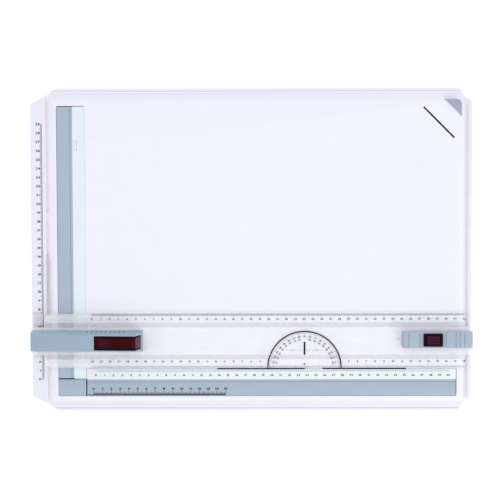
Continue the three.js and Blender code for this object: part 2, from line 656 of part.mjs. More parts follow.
function bottomCover() {
  const sheet = plate(boardOutline(WALL + GAP), BASE_Z, COVER_TOP);
  const tubs = Object.values(LEG_XS).map((x) => legTub(x, LEG_TUB_WALL));
  const whole = fuse(sheet, ...tubs);
  const counterbore = SCREW_HEAD_HEIGHT + GAP;
  return carve(whole,
    ...Object.values(LEG_XS).map((x) => fuse(legTub(x, 0), legTub(x, 0).translate([0, 0, -1]))),
    ...Object.values(LEG_XS).map((x) => legPin(x, LEG_PIN_RADIUS + GAP, 1)),
    ...COVER_SCREWS.map(([x, y]) =>
      postAt(x, y, SCREW_RADIUS + SCREW_CLEARANCE, BASE_Z - 1, COVER_TOP + 1, 12)),
    ...COVER_SCREWS.map(([x, y]) =>
      postAt(x, y, SCREW_HEAD_RADIUS + GAP, BASE_Z - 1, BASE_Z + counterbore)),
    ...footCentres().map(([x, y]) =>
      postAt(x, y, FOOT_RADIUS + GAP, BASE_Z - 1, BASE_Z + FOOT_SEAT_DEPTH, 32)));
}

function buildBoard() {
  const board = new THREE.Group();
  addPiece(board, 'top_shell', topShell(), WHITE_PLASTIC);
  addPiece(board, 'bottom_cover', bottomCover(), WHITE_PLASTIC);
  COVER_SCREWS.forEach(([x, y], index) => {
    const tip = DECK_Z - WALL - 1 - SCREW_TIP_GAP;
    addPiece(board, `cover_screw_${index + 1}`, screwAt(x, y, BASE_Z + SCREW_HEAD_RECESS, tip), STEEL);
  });
  footCentres().forEach(([x, y], index) => {
    const foot = postAt(x, y, FOOT_RADIUS, 0, BASE_Z + FOOT_SEAT_DEPTH - GAP, 32);
    addPiece(board, `foot_${index + 1}`, foot, RUBBER);
  });
  const block = box(SIDE_RAIL_LEFT, SIDE_LIP_RIGHT, BOTTOM_RAIL_FRONT, BOTTOM_RAIL_BACK,
    DECK_Z + RAIL_RECESS_FLOOR + GAP, DECK_Z + RAIL_TOP);
  addPiece(board, 'corner_block', block, GREY_PLASTIC);
  return board;
}

// ---- Corner clip ----

function buildCornerClip() {
  const cap = plate(clipOutline(0), DECK_Z + CLIP_BOTTOM, DECK_Z + CLIP_TOP);
  const tongue = clipTongue(0, DECK_Z - CLIP_TONGUE_DEPTH, DECK_Z);
  const group = new THREE.Group();
  addPiece(group, 'corner_clip', fuse(cap, tongue), GREY_PLASTIC);
  return group;
}

// ---- Fold-out legs ----

function buildLeg(hand, x) {
  const leg = new THREE.Group();
  leg.position.set(x, LEG_HINGE_Y, LEG_HINGE_Z);
  const half = LEG_WIDTH / 2;
  const thick = LEG_THICKNESS / 2;
  const end = -LEG_LENGTH + LEG_TIP_LENGTH + GAP;
  const tenon = LEG_TIP_LENGTH * LEG_TENON_SHARE;
  const side = half - LEG_TENON_INSET;
  const open = half - LEG_WINDOW_INSET;
  const bar = fuse(
    box(-half, half, end, 0, -thick, thick),
    rodAlongX(-half, half, 0, 0, thick),
    box(-side, side, end - tenon, end + 1, -thick / 2, thick / 2));
  const window = box(-open, open, end + LEG_WINDOW_END, -LEG_WINDOW_END,
    -thick - 1, -thick + LEG_WINDOW_DEPTH);
  const bore = rodAlongX(-half - 1, half + 1, 0, 0, LEG_PIN_RADIUS + GAP);
  addPiece(leg, `leg_${hand}`, carve(bar, window, bore), WHITE_PLASTIC);
  const tipBlock = box(-half, half, -LEG_LENGTH, end - GAP, -thick, thick);
  const socket = box(-side - GAP, side + GAP, end - tenon - GAP, end,
    -thick / 2 - GAP, thick / 2 + GAP);
  addPiece(leg, `leg_tip_${hand}`, carve(tipBlock, socket), RUBBER);
  return leg;
}

function buildLegs() {
  const legs = new THREE.Group();
  for (const [side, x] of Object.entries(LEG_XS)) {
    legs.add(buildLeg(side, x));
    addPiece(legs, `leg_pin_${side}`, legPin(x, LEG_PIN_RADIUS, -GAP), STEEL);
  }
  return legs;
}

// ---- Paper clamps ----

function clampSection(start, railWidth) {
  const edge = start + railWidth;
  return [
    [start, DECK_Z + RAIL_BOTTOM], [edge, DECK_Z + RAIL_BOTTOM],
    [edge, DECK_Z + LIP_BOTTOM - GAP], [edge - LIP_TONGUE, DECK_Z + LIP_BOTTOM - GAP],
    [edge - LIP_TONGUE, DECK_Z + RAIL_TOP], [start + CLAMP_EDGE_CHAMFER, DECK_Z + RAIL_TOP],
    [start, DECK_Z + RAIL_TOP - CLAMP_EDGE_CHAMFER],
  ];
}

// The lug's notch in a rail, seen from the rail's underside.
function lugNotch(x, y, alongY) {
  const halfX = (alongY ? CLAMP_LUG_WIDTH : CLAMP_LUG_LENGTH) / 2 + CLAMP_LUG_GAP;
  const halfY = (alongY ? CLAMP_LUG_LENGTH : CLAMP_LUG_WIDTH) / 2 + CLAMP_LUG_GAP;
  return box(x - halfX, x + halfX, y - halfY, y + halfY,
    DECK_Z + RAIL_BOTTOM - 1, CLAMP_LUG_TOP + CLAMP_LUG_GAP);
}

function leafSpring(x0, x1, y0, y1) {
  const middle = DECK_Z + (RAIL_BOTTOM + RAIL_RECESS_FLOOR) / 2 - CLAMP_SPRING_SAG;
  return box(x0, x1, y0, y1,
    middle - CLAMP_SPRING_THICKNESS / 2, middle + CLAMP_SPRING_THICKNESS / 2);
}

function buildSideClamp() {
  const clamp = new THREE.Group();
  const bar = barAlongY(clampSection(SIDE_RAIL_LEFT, SIDE_RAIL_WIDTH), SIDE_RAIL_FRONT, SIDE_RAIL_BACK);
  const boreRadius = CLAMP_PIN_RADIUS + SCREW_CLEARANCE;
  const rail = carve(bar,
    ...SIDE_PIN_YS.map((y) => lugNotch(SIDE_PIVOT_X, y, true)),
    ...SIDE_PIN_YS.map((y) => sideClampRod(y, CLAMP_PIN_LENGTH + 1, boreRadius)));
  const lip = carve(
    box(SIDE_RAIL_RIGHT - LIP_TONGUE + GAP, SIDE_LIP_RIGHT, SIDE_RAIL_FRONT, SIDE_RAIL_BACK,
      DECK_Z + LIP_BOTTOM, DECK_Z + LIP_TOP),
    ...PAPER_STOP_YS.map((y) => paperStop(y, PAPER_STOP_CLEARANCE)));
  addPiece(clamp, 'side_clamp_rail', rail, GREY_PLASTIC);
  addPiece(clamp, 'side_clamp_lip', lip, CLEAR_PLASTIC);
  SIDE_PIN_YS.forEach((y, index) => {
    const pin = sideClampRod(y, CLAMP_PIN_LENGTH, CLAMP_PIN_RADIUS);
    addPiece(clamp, `side_clamp_pin_${index + 1}`, pin, STEEL);
  });
  const middle = (SIDE_RAIL_FRONT + SIDE_RAIL_BACK) / 2;
  const springRight = SIDE_PIVOT_X - CLAMP_SPRING_SETBACK;
  const spring = leafSpring(springRight - CLAMP_SPRING_WIDTH, springRight,
    middle - CLAMP_SPRING_LENGTH / 2, middle + CLAMP_SPRING_LENGTH / 2);
  addPiece(clamp, 'side_clamp_spring', spring, STEEL);
  return clamp;
}

function buildBottomClamp() {
  const clamp = new THREE.Group();
  const bar = barAlongX(
    clampSection(BOTTOM_RAIL_FRONT, BOTTOM_RAIL_WIDTH), BOTTOM_RAIL_LEFT, BOTTOM_RAIL_RIGHT);
  const boreRadius = CLAMP_PIN_RADIUS + SCREW_CLEARANCE;
  const rail = carve(bar,
    ...BOTTOM_PIN_XS.map((x) => lugNotch(x, BOTTOM_PIVOT_Y, false)),
    ...BOTTOM_PIN_XS.map((x) => bottomClampRod(x, CLAMP_PIN_LENGTH + 1, boreRadius)));
  const lip = box(BOTTOM_RAIL_LEFT, BOTTOM_RAIL_RIGHT, BOTTOM_RAIL_BACK - LIP_TONGUE + GAP,
    BOTTOM_LIP_BACK, DECK_Z + LIP_BOTTOM, DECK_Z + LIP_TOP);
  addPiece(clamp, 'bottom_clamp_rail', rail, GREY_PLASTIC);
  addPiece(clamp, 'bottom_clamp_lip', lip, CLEAR_PLASTIC);
  BOTTOM_PIN_XS.forEach((x, index) => {
    const pin = bottomClampRod(x, CLAMP_PIN_LENGTH, CLAMP_PIN_RADIUS);
    addPiece(clamp, `bottom_clamp_pin_${index + 1}`, pin, STEEL);
  });
  const middle = (BOTTOM_RAIL_LEFT + BOTTOM_RAIL_RIGHT) / 2;
  const springBack = BOTTOM_PIVOT_Y - CLAMP_SPRING_SETBACK;
  const spring = leafSpring(middle - CLAMP_SPRING_LENGTH / 2, middle + CLAMP_SPRING_LENGTH / 2,
    springBack - CLAMP_SPRING_WIDTH, springBack);
  addPiece(clamp, 'bottom_clamp_spring', spring, STEEL);
  return clamp;
}

// ---- Ruler ----
// Everything below is drawn from the middle of the ruler, at the deck surface.

// Where each head screw stands: its place, and how low its head may sit.
const HEAD_SCREWS = {
  left_head_screw_1: [
    LEFT + LEFT_OUTER_SCREW_INSET, LEFT_HEAD_OFFSET - HEAD_SCREW_SIDE, LEFT_OUTER_SCREW_HEAD],
  left_head_screw_2: [
    LEFT_HEAD_RIGHT - LEFT_INNER_SCREW_INSET, LEFT_HEAD_OFFSET + HEAD_SCREW_SIDE, INNER_SCREW_HEAD],
  right_head_screw_1: [
    RIGHT - RIGHT_OUTER_SCREW_INSET, RIGHT_HEAD_OFFSET,
    RISER_TOP - RUNNER_TAB_THICKNESS - SCREW_HEAD_HEIGHT - GAP],
  right_head_screw_2: [RIGHT_HEAD_LEFT + RIGHT_INNER_SCREW_INSET, RIGHT_HEAD_OFFSET, INNER_SCREW_HEAD],
};

function headScrewHoles(from, to) {
  const radius = SCREW_RADIUS + SCREW_CLEARANCE;
  return Object.values(HEAD_SCREWS).map(([x, y]) => postAt(x, y, radius, from, to, 12));
}

function roundedCorner(x, y, radius, turnX, turnY, z0, z1) {
  const square = box(
    Math.min(x, x + turnX * radius) - (turnX > 0 ? 1 : 0),
    Math.max(x, x + turnX * radius) + (turnX < 0 ? 1 : 0),
    Math.min(y, y + turnY * radius) - (turnY > 0 ? 1 : 0),
    Math.max(y, y + turnY * radius) + (turnY < 0 ? 1 : 0), z0, z1);
  return carve(square, postAt(x + turnX * radius, y + turnY * radius, radius, z0 - 1, z1 + 1, 32));
}

function rulerBlade() {
  const half = BLADE_HALF_WIDTH;
  const band = BLADE_BAND_HALF_WIDTH;
  const foot = band + BLADE_BAND_SLOPE;
  const bevel = BLADE_EDGE_BEVEL;
  const hat = [
    [-half, BLADE_LIFT], [-foot, BLADE_LIFT], [-band, BAND_BOTTOM], [band, BAND_BOTTOM],
    [foot, BLADE_LIFT], [half, BLADE_LIFT], [half, BLADE_TOP - bevel],
    [half - 3 * bevel, BLADE_TOP], [foot, BLADE_TOP], [band, BAND_TOP], [-band, BAND_TOP],
    [-foot, BLADE_TOP], [-half + 3 * bevel, BLADE_TOP], [-half, BLADE_TOP - bevel],
  ];
  const left = LEFT + BLADE_LEFT_INSET;
  const wings = carve(
    barAlongX(hat, left, RIGHT - BLADE_RIGHT_INSET),
    roundedCorner(left, half, BLADE_CORNER_RADIUS, 1, -1, 0, BAND_TOP),
    roundedCorner(left, -half, BLADE_CORNER_RADIUS, 1, 1, 0, BAND_TOP));
  const middle = box(LEFT + BAND_LEFT_INSET, RIGHT - BAND_RIGHT_INSET, -band, band,
    BAND_BOTTOM, BAND_TOP);
  return carve(fuse(wings, middle),
    postAt(BRAKE_X, LEFT_HEAD_OFFSET, BRAKE_SHOE_RADIUS + BRAKE_WINDOW_GAP, 0, BAND_TOP + 1),
    postAt(RIGHT_BUTTON_X, RIGHT_HEAD_OFFSET, RIGHT_STEM_RADIUS + 0.5, 0, BAND_TOP + 1),
    ...headScrewHoles(BAND_BOTTOM - 1, BAND_TOP + 1));
}

function guideRail() {
  const grooveX = LEFT + LEFT_GROOVE_INSET;
  const finHalf = GROOVE_WIDTH / 2 - FIN_SIDE_GAP;
  const right = grooveX - finHalf + GUIDE_WIDTH;
  const fin = box(grooveX - finHalf, grooveX + finHalf, -GUIDE_BEHIND, GUIDE_AHEAD,
    FIN_BOTTOM, FLANGE_BOTTOM + 0.1);
  const cut = GUIDE_END_CUT;
  const flange = plate([
    [grooveX - finHalf, -GUIDE_BEHIND], [right, -GUIDE_BEHIND], [right, GUIDE_AHEAD - cut],
    [right - cut, GUIDE_AHEAD], [grooveX - finHalf + cut, GUIDE_AHEAD],
    [grooveX - finHalf, GUIDE_AHEAD - cut],
  ], FLANGE_BOTTOM, FLANGE_TOP);
  const cursorLeft = LEFT + CURSOR_INSET;
  const cursor = box(cursorLeft, cursorLeft + CURSOR_WIDTH, -CURSOR_BEHIND, CURSOR_AHEAD,
    FLANGE_BOTTOM, FLANGE_TOP);
  const bridge = box(cursorLeft, right, -RISER_HALF_WIDTH, RISER_HALF_WIDTH,
    FLANGE_BOTTOM, FLANGE_TOP);
  const riser = box(LEFT_HEAD_LEFT + RISER_OUTER_SET_BACK, right - RISER_INNER_SET_BACK,
    LEFT_HEAD_OFFSET - RISER_HALF_WIDTH, LEFT_HEAD_OFFSET + RISER_HALF_WIDTH,
    FLANGE_TOP - 0.1, RISER_TOP);
  const [screwX, screwY, screwHead] = HEAD_SCREWS.left_head_screw_1;
  return carve(fuse(fin, flange, cursor, bridge, riser),
    postAt(BRAKE_X, LEFT_HEAD_OFFSET, BRAKE_SHOE_RADIUS + BRAKE_WINDOW_GAP, FIN_BOTTOM, RISER_TOP + 1),
    postAt(screwX, screwY, SCREW_RADIUS + SCREW_CLEARANCE, FIN_BOTTOM, RISER_TOP + 1, 12),
    postAt(screwX, screwY, SCREW_HEAD_RADIUS + SCREW_CLEARANCE, FIN_BOTTOM,
      screwHead + SCREW_HEAD_HEIGHT + GAP));
}

function rightRunner() {
  const grooveX = RIGHT - RIGHT_GROOVE_INSET;
  const finHalf = GROOVE_WIDTH / 2 - FIN_SIDE_GAP;
  const half = RUNNER_HALF_WIDTH;
  const left = RIGHT - DECK_RIGHT + 1;
  const right = RIGHT - RUNNER_INSET;
  const fin = box(grooveX - finHalf, grooveX + finHalf, -half, half, FIN_BOTTOM, FLANGE_BOTTOM + 0.1);
  const riser = box(left, right, -half, half, FLANGE_BOTTOM, RISER_TOP);
  const tab = box(left - RUNNER_TAB, left + 1, -half, half, RISER_TOP - RUNNER_TAB_THICKNESS, RISER_TOP);
  const [x, y] = HEAD_SCREWS.right_head_screw_1;
  return carve(fuse(fin, riser, tab), postAt(x, y, SCREW_RADIUS + SCREW_CLEARANCE, -5, RISER_TOP + 1, 12));
}

// The left head's top, from its outer end to its crest.
function leftHeadTop(x) {
  const knee = LEFT_HEAD_LEFT + LEFT_HEAD_KNEE;
  if (x < knee) {
    const share = (x - LEFT_HEAD_LEFT) / LEFT_HEAD_KNEE;
    return LEFT_HEAD_END_RISE + share * (LEFT_HEAD_KNEE_RISE - LEFT_HEAD_END_RISE);
  }
  const share = (x - knee) / (LEFT_HEAD_CREST - knee);
  return LEFT_HEAD_KNEE_RISE + share * (LEFT_HEAD_TOP_RISE - LEFT_HEAD_KNEE_RISE);
}

// The wedge of the left head, drawn in by a margin on every side but its open foot.
function leftHeadWedge(margin, bottom) {
  const foot = LEFT_HEAD_FOOT_HALF_WIDTH - margin;
  const crest = LEFT_HEAD_TOP_HALF_WIDTH - margin;
  const end = foot - LEFT_HEAD_END_DRAFT;
  const left = LEFT_HEAD_LEFT + margin;
  const right = LEFT_HEAD_RIGHT - margin;
  const knee = LEFT_HEAD_LEFT + LEFT_HEAD_KNEE;
  const y = LEFT_HEAD_OFFSET;
  const points = [
    [left, foot, bottom], [right, foot, bottom],
    [right, foot - LEFT_HEAD_NOSE_DRAFT, LEFT_HEAD_NOSE_RISE],
    [left, end, LEFT_HEAD_END_RISE - margin],
    [knee, crest + LEFT_HEAD_KNEE_FLARE, LEFT_HEAD_KNEE_RISE - margin],
    [LEFT_HEAD_CREST - margin, crest, LEFT_HEAD_TOP_RISE - margin],
  ];
  return hull(points.flatMap(([x, side, z]) => [[x, y + side, z], [x, y - side, z]]));
}

function headBoss(name, top) {
  const [x, y] = HEAD_SCREWS[name];
  return postAt(x, y, HEAD_BOSS_RADIUS, HEAD_BOTTOM, top, 16);
}

function leftHead() {
  const shell = carve(leftHeadWedge(0, HEAD_BOTTOM), leftHeadWedge(HEAD_WALL, HEAD_BOTTOM - 1));
  const bosses = fuse(
    headBoss('left_head_screw_1', HEAD_BOSS_TOP), headBoss('left_head_screw_2', HEAD_BOSS_TOP));
  const half = LEFT_BUTTON_HALF_WIDTH + BEZEL_THICKNESS + 2 * GAP;
  const opening = box(LEFT_BUTTON_LEFT - BEZEL_THICKNESS - 2 * GAP, LEFT_HEAD_RIGHT + 5,
    LEFT_HEAD_OFFSET - half, LEFT_HEAD_OFFSET + half, LEFT_BUTTON_BOTTOM - 2, LEFT_HEAD_TOP_RISE + 5);
  const boreHalf = BUTTON_PIN_HALF_LENGTH + BUTTON_PIN_END_GAP;
  const bore = rodAlongY(LEFT_HEAD_OFFSET - boreHalf, LEFT_HEAD_OFFSET + boreHalf,
    BUTTON_PIVOT_X, BUTTON_PIVOT_Z, BUTTON_PIN_RADIUS + GAP);
  return carve(fuse(shell, bosses), opening, bore, ...headScrewHoles(0, HEAD_BOSS_TOP - SCREW_HOLE_CAP));
}

// The line of the button's top and end, a distance proud of the head's surface.
function buttonLine(start, proud, bottom) {
  const slope = LEFT_HEAD_NOSE / (LEFT_HEAD_TOP_RISE - LEFT_HEAD_NOSE_RISE);
  const drop = LEFT_HEAD_TOP_RISE - bottom;
  return [
    [start, leftHeadTop(start) + proud], [LEFT_HEAD_CREST + proud / 2, LEFT_HEAD_TOP_RISE + proud],
    [LEFT_HEAD_CREST + drop * slope + proud, bottom],
  ];
}

function leftBezel() {
  const start = LEFT_BUTTON_LEFT - BEZEL_THICKNESS - GAP;
  const bottom = LEFT_BUTTON_BOTTOM - BEZEL_BELOW_BUTTON;
  const outer = buttonLine(start, BEZEL_PROUD, bottom);
  const inner = buttonLine(start, BEZEL_PROUD - BEZEL_DEPTH, bottom);
  const half = LEFT_BUTTON_HALF_WIDTH + GAP + BEZEL_THICKNESS;
  const ring = barAlongY([...outer, ...inner.reverse()], LEFT_HEAD_OFFSET - half, LEFT_HEAD_OFFSET + half);
  const hole = LEFT_BUTTON_HALF_WIDTH + GAP;
  return carve(ring, box(LEFT_BUTTON_LEFT - GAP, LEFT_HEAD_RIGHT + 5,
    LEFT_HEAD_OFFSET - hole, LEFT_HEAD_OFFSET + hole, 0, LEFT_HEAD_TOP_RISE + 5));
}

function leftButton() {
  const line = buttonLine(LEFT_BUTTON_LEFT, LEFT_BUTTON_PROUD, LEFT_BUTTON_BOTTOM);
  const half = LEFT_BUTTON_HALF_WIDTH;
  const cap = barAlongY([...line, [LEFT_BUTTON_LEFT, LEFT_BUTTON_BOTTOM]],
    LEFT_HEAD_OFFSET - half, LEFT_HEAD_OFFSET + half);
  const earHalf = BUTTON_EAR / 2;
  const ear = box(BUTTON_PIVOT_X - earHalf, LEFT_BUTTON_LEFT + 1,
    LEFT_HEAD_OFFSET - BUTTON_EAR_HALF_WIDTH, LEFT_HEAD_OFFSET + BUTTON_EAR_HALF_WIDTH,
    BUTTON_PIVOT_Z - earHalf, BUTTON_PIVOT_Z + earHalf);
  const boreHalf = BUTTON_EAR_HALF_WIDTH + 1;
  const bore = rodAlongY(LEFT_HEAD_OFFSET - boreHalf, LEFT_HEAD_OFFSET + boreHalf,
    BUTTON_PIVOT_X, BUTTON_PIVOT_Z, BUTTON_PIN_RADIUS + GAP);
  return carve(fuse(cap, ear), bore);
}

function leftBrakeLever() {
  const y = LEFT_HEAD_OFFSET;
  const right = LEFT_BUTTON_LEFT + LEVER_REACH;
  const arm = box(BRAKE_X - LEVER_HALF_WIDTH, right, y - LEVER_HALF_WIDTH, y + LEVER_HALF_WIDTH,
    LEVER_BOTTOM, LEVER_TOP);
  const web = box(LEFT_BUTTON_LEFT + LEVER_WEB_START, right, y - LEVER_HALF_WIDTH, y + LEVER_HALF_WIDTH,
    LEVER_TOP - 0.1, LEFT_BUTTON_BOTTOM - GAP);
  return fuse(arm, web, postAt(BRAKE_X, y, BRAKE_STEM_RADIUS, RISER_TOP - BRAKE_STEM_SEAT,
    LEVER_BOTTOM + 0.1));
}

function rightHead() {
  const y = RIGHT_HEAD_OFFSET;
  const half = RIGHT_HEAD_HALF_WIDTH;
  const shoulder = half - RIGHT_HEAD_SIDE_DRAFT;
  const wall = HEAD_WALL;
  const block = (margin, bottom) => hull([
    [RIGHT_HEAD_LEFT + margin, half - margin, bottom],
    [RIGHT_HEAD_RIGHT - margin, half - margin, bottom],
    [RIGHT_HEAD_LEFT + RIGHT_HEAD_DRAFT + margin, shoulder - margin, RIGHT_HEAD_TOP_RISE - margin],
    [RIGHT_HEAD_RIGHT - margin, shoulder - margin, RIGHT_HEAD_TOP_RISE - margin],
  ].flatMap(([px, side, z]) => [[px, y + side, z], [px, y - side, z]]));
  const bossTop = RIGHT_HEAD_TOP_RISE - wall;
  const bosses = fuse(
    headBoss('right_head_screw_1', bossTop + 0.1), headBoss('right_head_screw_2', bossTop + 0.1));
  const buttonHalf = RIGHT_BUTTON_LENGTH / 2 + GAP;
  const side = RIGHT_BUTTON_HALF_WIDTH + GAP;
  const opening = box(RIGHT_BUTTON_X - buttonHalf, RIGHT_BUTTON_X + buttonHalf, y - side, y + side,
    HEAD_BOTTOM, RIGHT_HEAD_TOP_RISE + 1);
  return carve(fuse(carve(block(0, HEAD_BOTTOM), block(wall, HEAD_BOTTOM - 1)), bosses),
    opening, ...headScrewHoles(0, bossTop - 0.4));
}

function rightButton() {
  const y = RIGHT_HEAD_OFFSET;
  const half = RIGHT_BUTTON_LENGTH / 2;
  const cap = box(RIGHT_BUTTON_X - half, RIGHT_BUTTON_X + half,
    y - RIGHT_BUTTON_HALF_WIDTH, y + RIGHT_BUTTON_HALF_WIDTH, RIGHT_BUTTON_BOTTOM, RIGHT_BUTTON_TOP);
  const stem = postAt(RIGHT_BUTTON_X, y, RIGHT_STEM_RADIUS, RISER_TOP + 0.1, RIGHT_BUTTON_BOTTOM + 0.1);
  return fuse(cap, stem);
}

function buildLeftEnd(ruler) {
  addPiece(ruler, 'guide_rail', guideRail(), CLEAR_PLASTIC);
  addPiece(ruler, 'left_head', leftHead(), GREY_PLASTIC);
  addPiece(ruler, 'left_bezel', leftBezel(), BLACK_PLASTIC);
  addPiece(ruler, 'left_button', leftButton(), MAROON_PLASTIC);
  addPiece(ruler, 'left_brake_lever', leftBrakeLever(), BLACK_PLASTIC);
  const shoe = postAt(BRAKE_X, LEFT_HEAD_OFFSET, BRAKE_SHOE_RADIUS, FLANGE_BOTTOM,
    RISER_TOP - BRAKE_STEM_SEAT - GAP);
  addPiece(ruler, 'left_brake_shoe', shoe, RUBBER);
  const pin = rodAlongY(
    LEFT_HEAD_OFFSET - BUTTON_PIN_HALF_LENGTH, LEFT_HEAD_OFFSET + BUTTON_PIN_HALF_LENGTH,
    BUTTON_PIVOT_X, BUTTON_PIVOT_Z, BUTTON_PIN_RADIUS);
  addPiece(ruler, 'left_button_pin', pin, STEEL);
  const spring = coilSpring(LEFT_BUTTON_RIGHT - LEFT_SPRING_INSET, LEFT_HEAD_OFFSET, HEAD_BOTTOM,
    LEFT_BUTTON_BOTTOM - GAP, LEFT_SPRING_TURNS);
  addPiece(ruler, 'left_button_spring', spring, STEEL);
}

function buildRightEnd(ruler) {
  addPiece(ruler, 'right_runner', rightRunner(), CLEAR_PLASTIC);
  addPiece(ruler, 'right_head', rightHead(), GREY_PLASTIC);
  addPiece(ruler, 'right_button', rightButton(), MAROON_PLASTIC);
  const shoeTop = RISER_TOP - GAP + 0.1;
  const shoe = postAt(RIGHT_BUTTON_X, RIGHT_HEAD_OFFSET, RIGHT_SHOE_RADIUS,
    RIGHT_BUTTON_TRAVEL + RIGHT_SHOE_REST, shoeTop);
  addPiece(ruler, 'right_brake_shoe', shoe, RUBBER);
  const spring = coilSpring(RIGHT_BUTTON_X, RIGHT_HEAD_OFFSET, HEAD_BOTTOM,
    RIGHT_BUTTON_BOTTOM - GAP, RIGHT_SPRING_TURNS);
  addPiece(ruler, 'right_button_spring', spring, STEEL);
}

function buildRuler() {
  const ruler = new THREE.Group();
  ruler.position.set(0, RULER_Y, DECK_Z);
  addPiece(ruler, 'ruler_blade', rulerBlade(), CLEAR_PLASTIC);
  buildLeftEnd(ruler);
  buildRightEnd(ruler);
  const tip = HEAD_BOSS_TOP - SCREW_HOLE_CAP - SCREW_TIP_GAP;
  for (const [name, [x, y, headBottom]] of Object.entries(HEAD_SCREWS)) {
    addPiece(ruler, name, screwAt(x, y, headBottom, tip), STEEL);
  }
  return ruler;
}

const drawingBoard = new THREE.Group();
drawingBoard.name = 'drawing_board';
drawingBoard.add(
  buildBoard(), buildLegs(), buildCornerClip(), buildSideClamp(), buildBottomClamp(), buildRuler());

export default drawingBoard;
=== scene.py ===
"""Looks of a portable drawing board: moulded plastic, clear acrylic, printed scales and soft studio light.

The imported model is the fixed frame. Every shape is placed from the boxes of its nodes, in metres.
"""

from __future__ import annotations

import logging
import math
from collections.abc import Callable, Iterable, Sequence
from dataclasses import dataclass, field
from enum import Enum

import bmesh
import bpy
from mathutils import Matrix, Vector
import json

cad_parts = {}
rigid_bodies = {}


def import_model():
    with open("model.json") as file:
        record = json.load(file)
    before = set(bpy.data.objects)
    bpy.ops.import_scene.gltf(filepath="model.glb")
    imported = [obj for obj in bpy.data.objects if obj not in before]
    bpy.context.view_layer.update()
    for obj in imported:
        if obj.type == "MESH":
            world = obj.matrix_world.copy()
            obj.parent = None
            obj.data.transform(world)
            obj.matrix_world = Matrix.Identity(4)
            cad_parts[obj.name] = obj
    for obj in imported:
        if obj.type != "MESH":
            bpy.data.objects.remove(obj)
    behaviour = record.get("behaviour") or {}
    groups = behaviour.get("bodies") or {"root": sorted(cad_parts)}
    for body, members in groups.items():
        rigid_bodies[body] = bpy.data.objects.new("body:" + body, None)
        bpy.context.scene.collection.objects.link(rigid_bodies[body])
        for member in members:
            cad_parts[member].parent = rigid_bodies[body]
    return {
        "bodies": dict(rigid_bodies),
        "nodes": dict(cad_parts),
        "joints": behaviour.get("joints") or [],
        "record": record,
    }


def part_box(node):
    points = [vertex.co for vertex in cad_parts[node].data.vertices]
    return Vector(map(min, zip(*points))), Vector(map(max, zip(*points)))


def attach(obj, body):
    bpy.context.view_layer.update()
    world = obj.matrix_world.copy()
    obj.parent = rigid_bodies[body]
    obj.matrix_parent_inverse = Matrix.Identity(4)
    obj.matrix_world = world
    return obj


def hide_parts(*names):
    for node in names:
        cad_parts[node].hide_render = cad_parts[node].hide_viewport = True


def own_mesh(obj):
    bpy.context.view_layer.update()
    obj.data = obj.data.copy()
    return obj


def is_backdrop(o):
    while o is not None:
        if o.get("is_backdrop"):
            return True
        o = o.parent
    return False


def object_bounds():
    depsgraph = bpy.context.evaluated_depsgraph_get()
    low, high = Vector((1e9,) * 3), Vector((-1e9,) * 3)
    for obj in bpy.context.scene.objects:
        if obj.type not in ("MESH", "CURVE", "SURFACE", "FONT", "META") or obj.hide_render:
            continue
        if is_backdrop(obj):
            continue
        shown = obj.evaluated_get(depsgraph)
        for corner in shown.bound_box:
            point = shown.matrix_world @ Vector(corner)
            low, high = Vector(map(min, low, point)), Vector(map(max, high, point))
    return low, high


LOG = logging.getLogger("drawing_board")
MM = 0.001

Spot = tuple[float, float]
Point = tuple[float, float, float]
Label = tuple[str, float, float, float]
Face = tuple[int, ...]
Surface = Callable[[float, float], float]


class Body(str, Enum):
    """The bodies that pieces ride on."""

    BOARD = "board"
    SIDE_CLAMP = "side_clamp"
    BOTTOM_CLAMP = "bottom_clamp"
    LEFT_LEG = "left_leg"
    RIGHT_LEG = "right_leg"
    CLIP = "clip"
    RULER = "ruler"
    LEFT_LOCK = "left_lock"
    RIGHT_LOCK = "right_lock"


class Slot(str, Enum):
    """The record's material slots."""

    WHITE = "white_plastic"
    GREY = "grey_plastic"
    CLEAR = "clear_plastic"
    MAROON = "maroon_plastic"
    BLACK = "black_plastic"
    RUBBER = "rubber"
    STEEL = "steel"


# ---------------------------------------------------------------------------
# Finishes


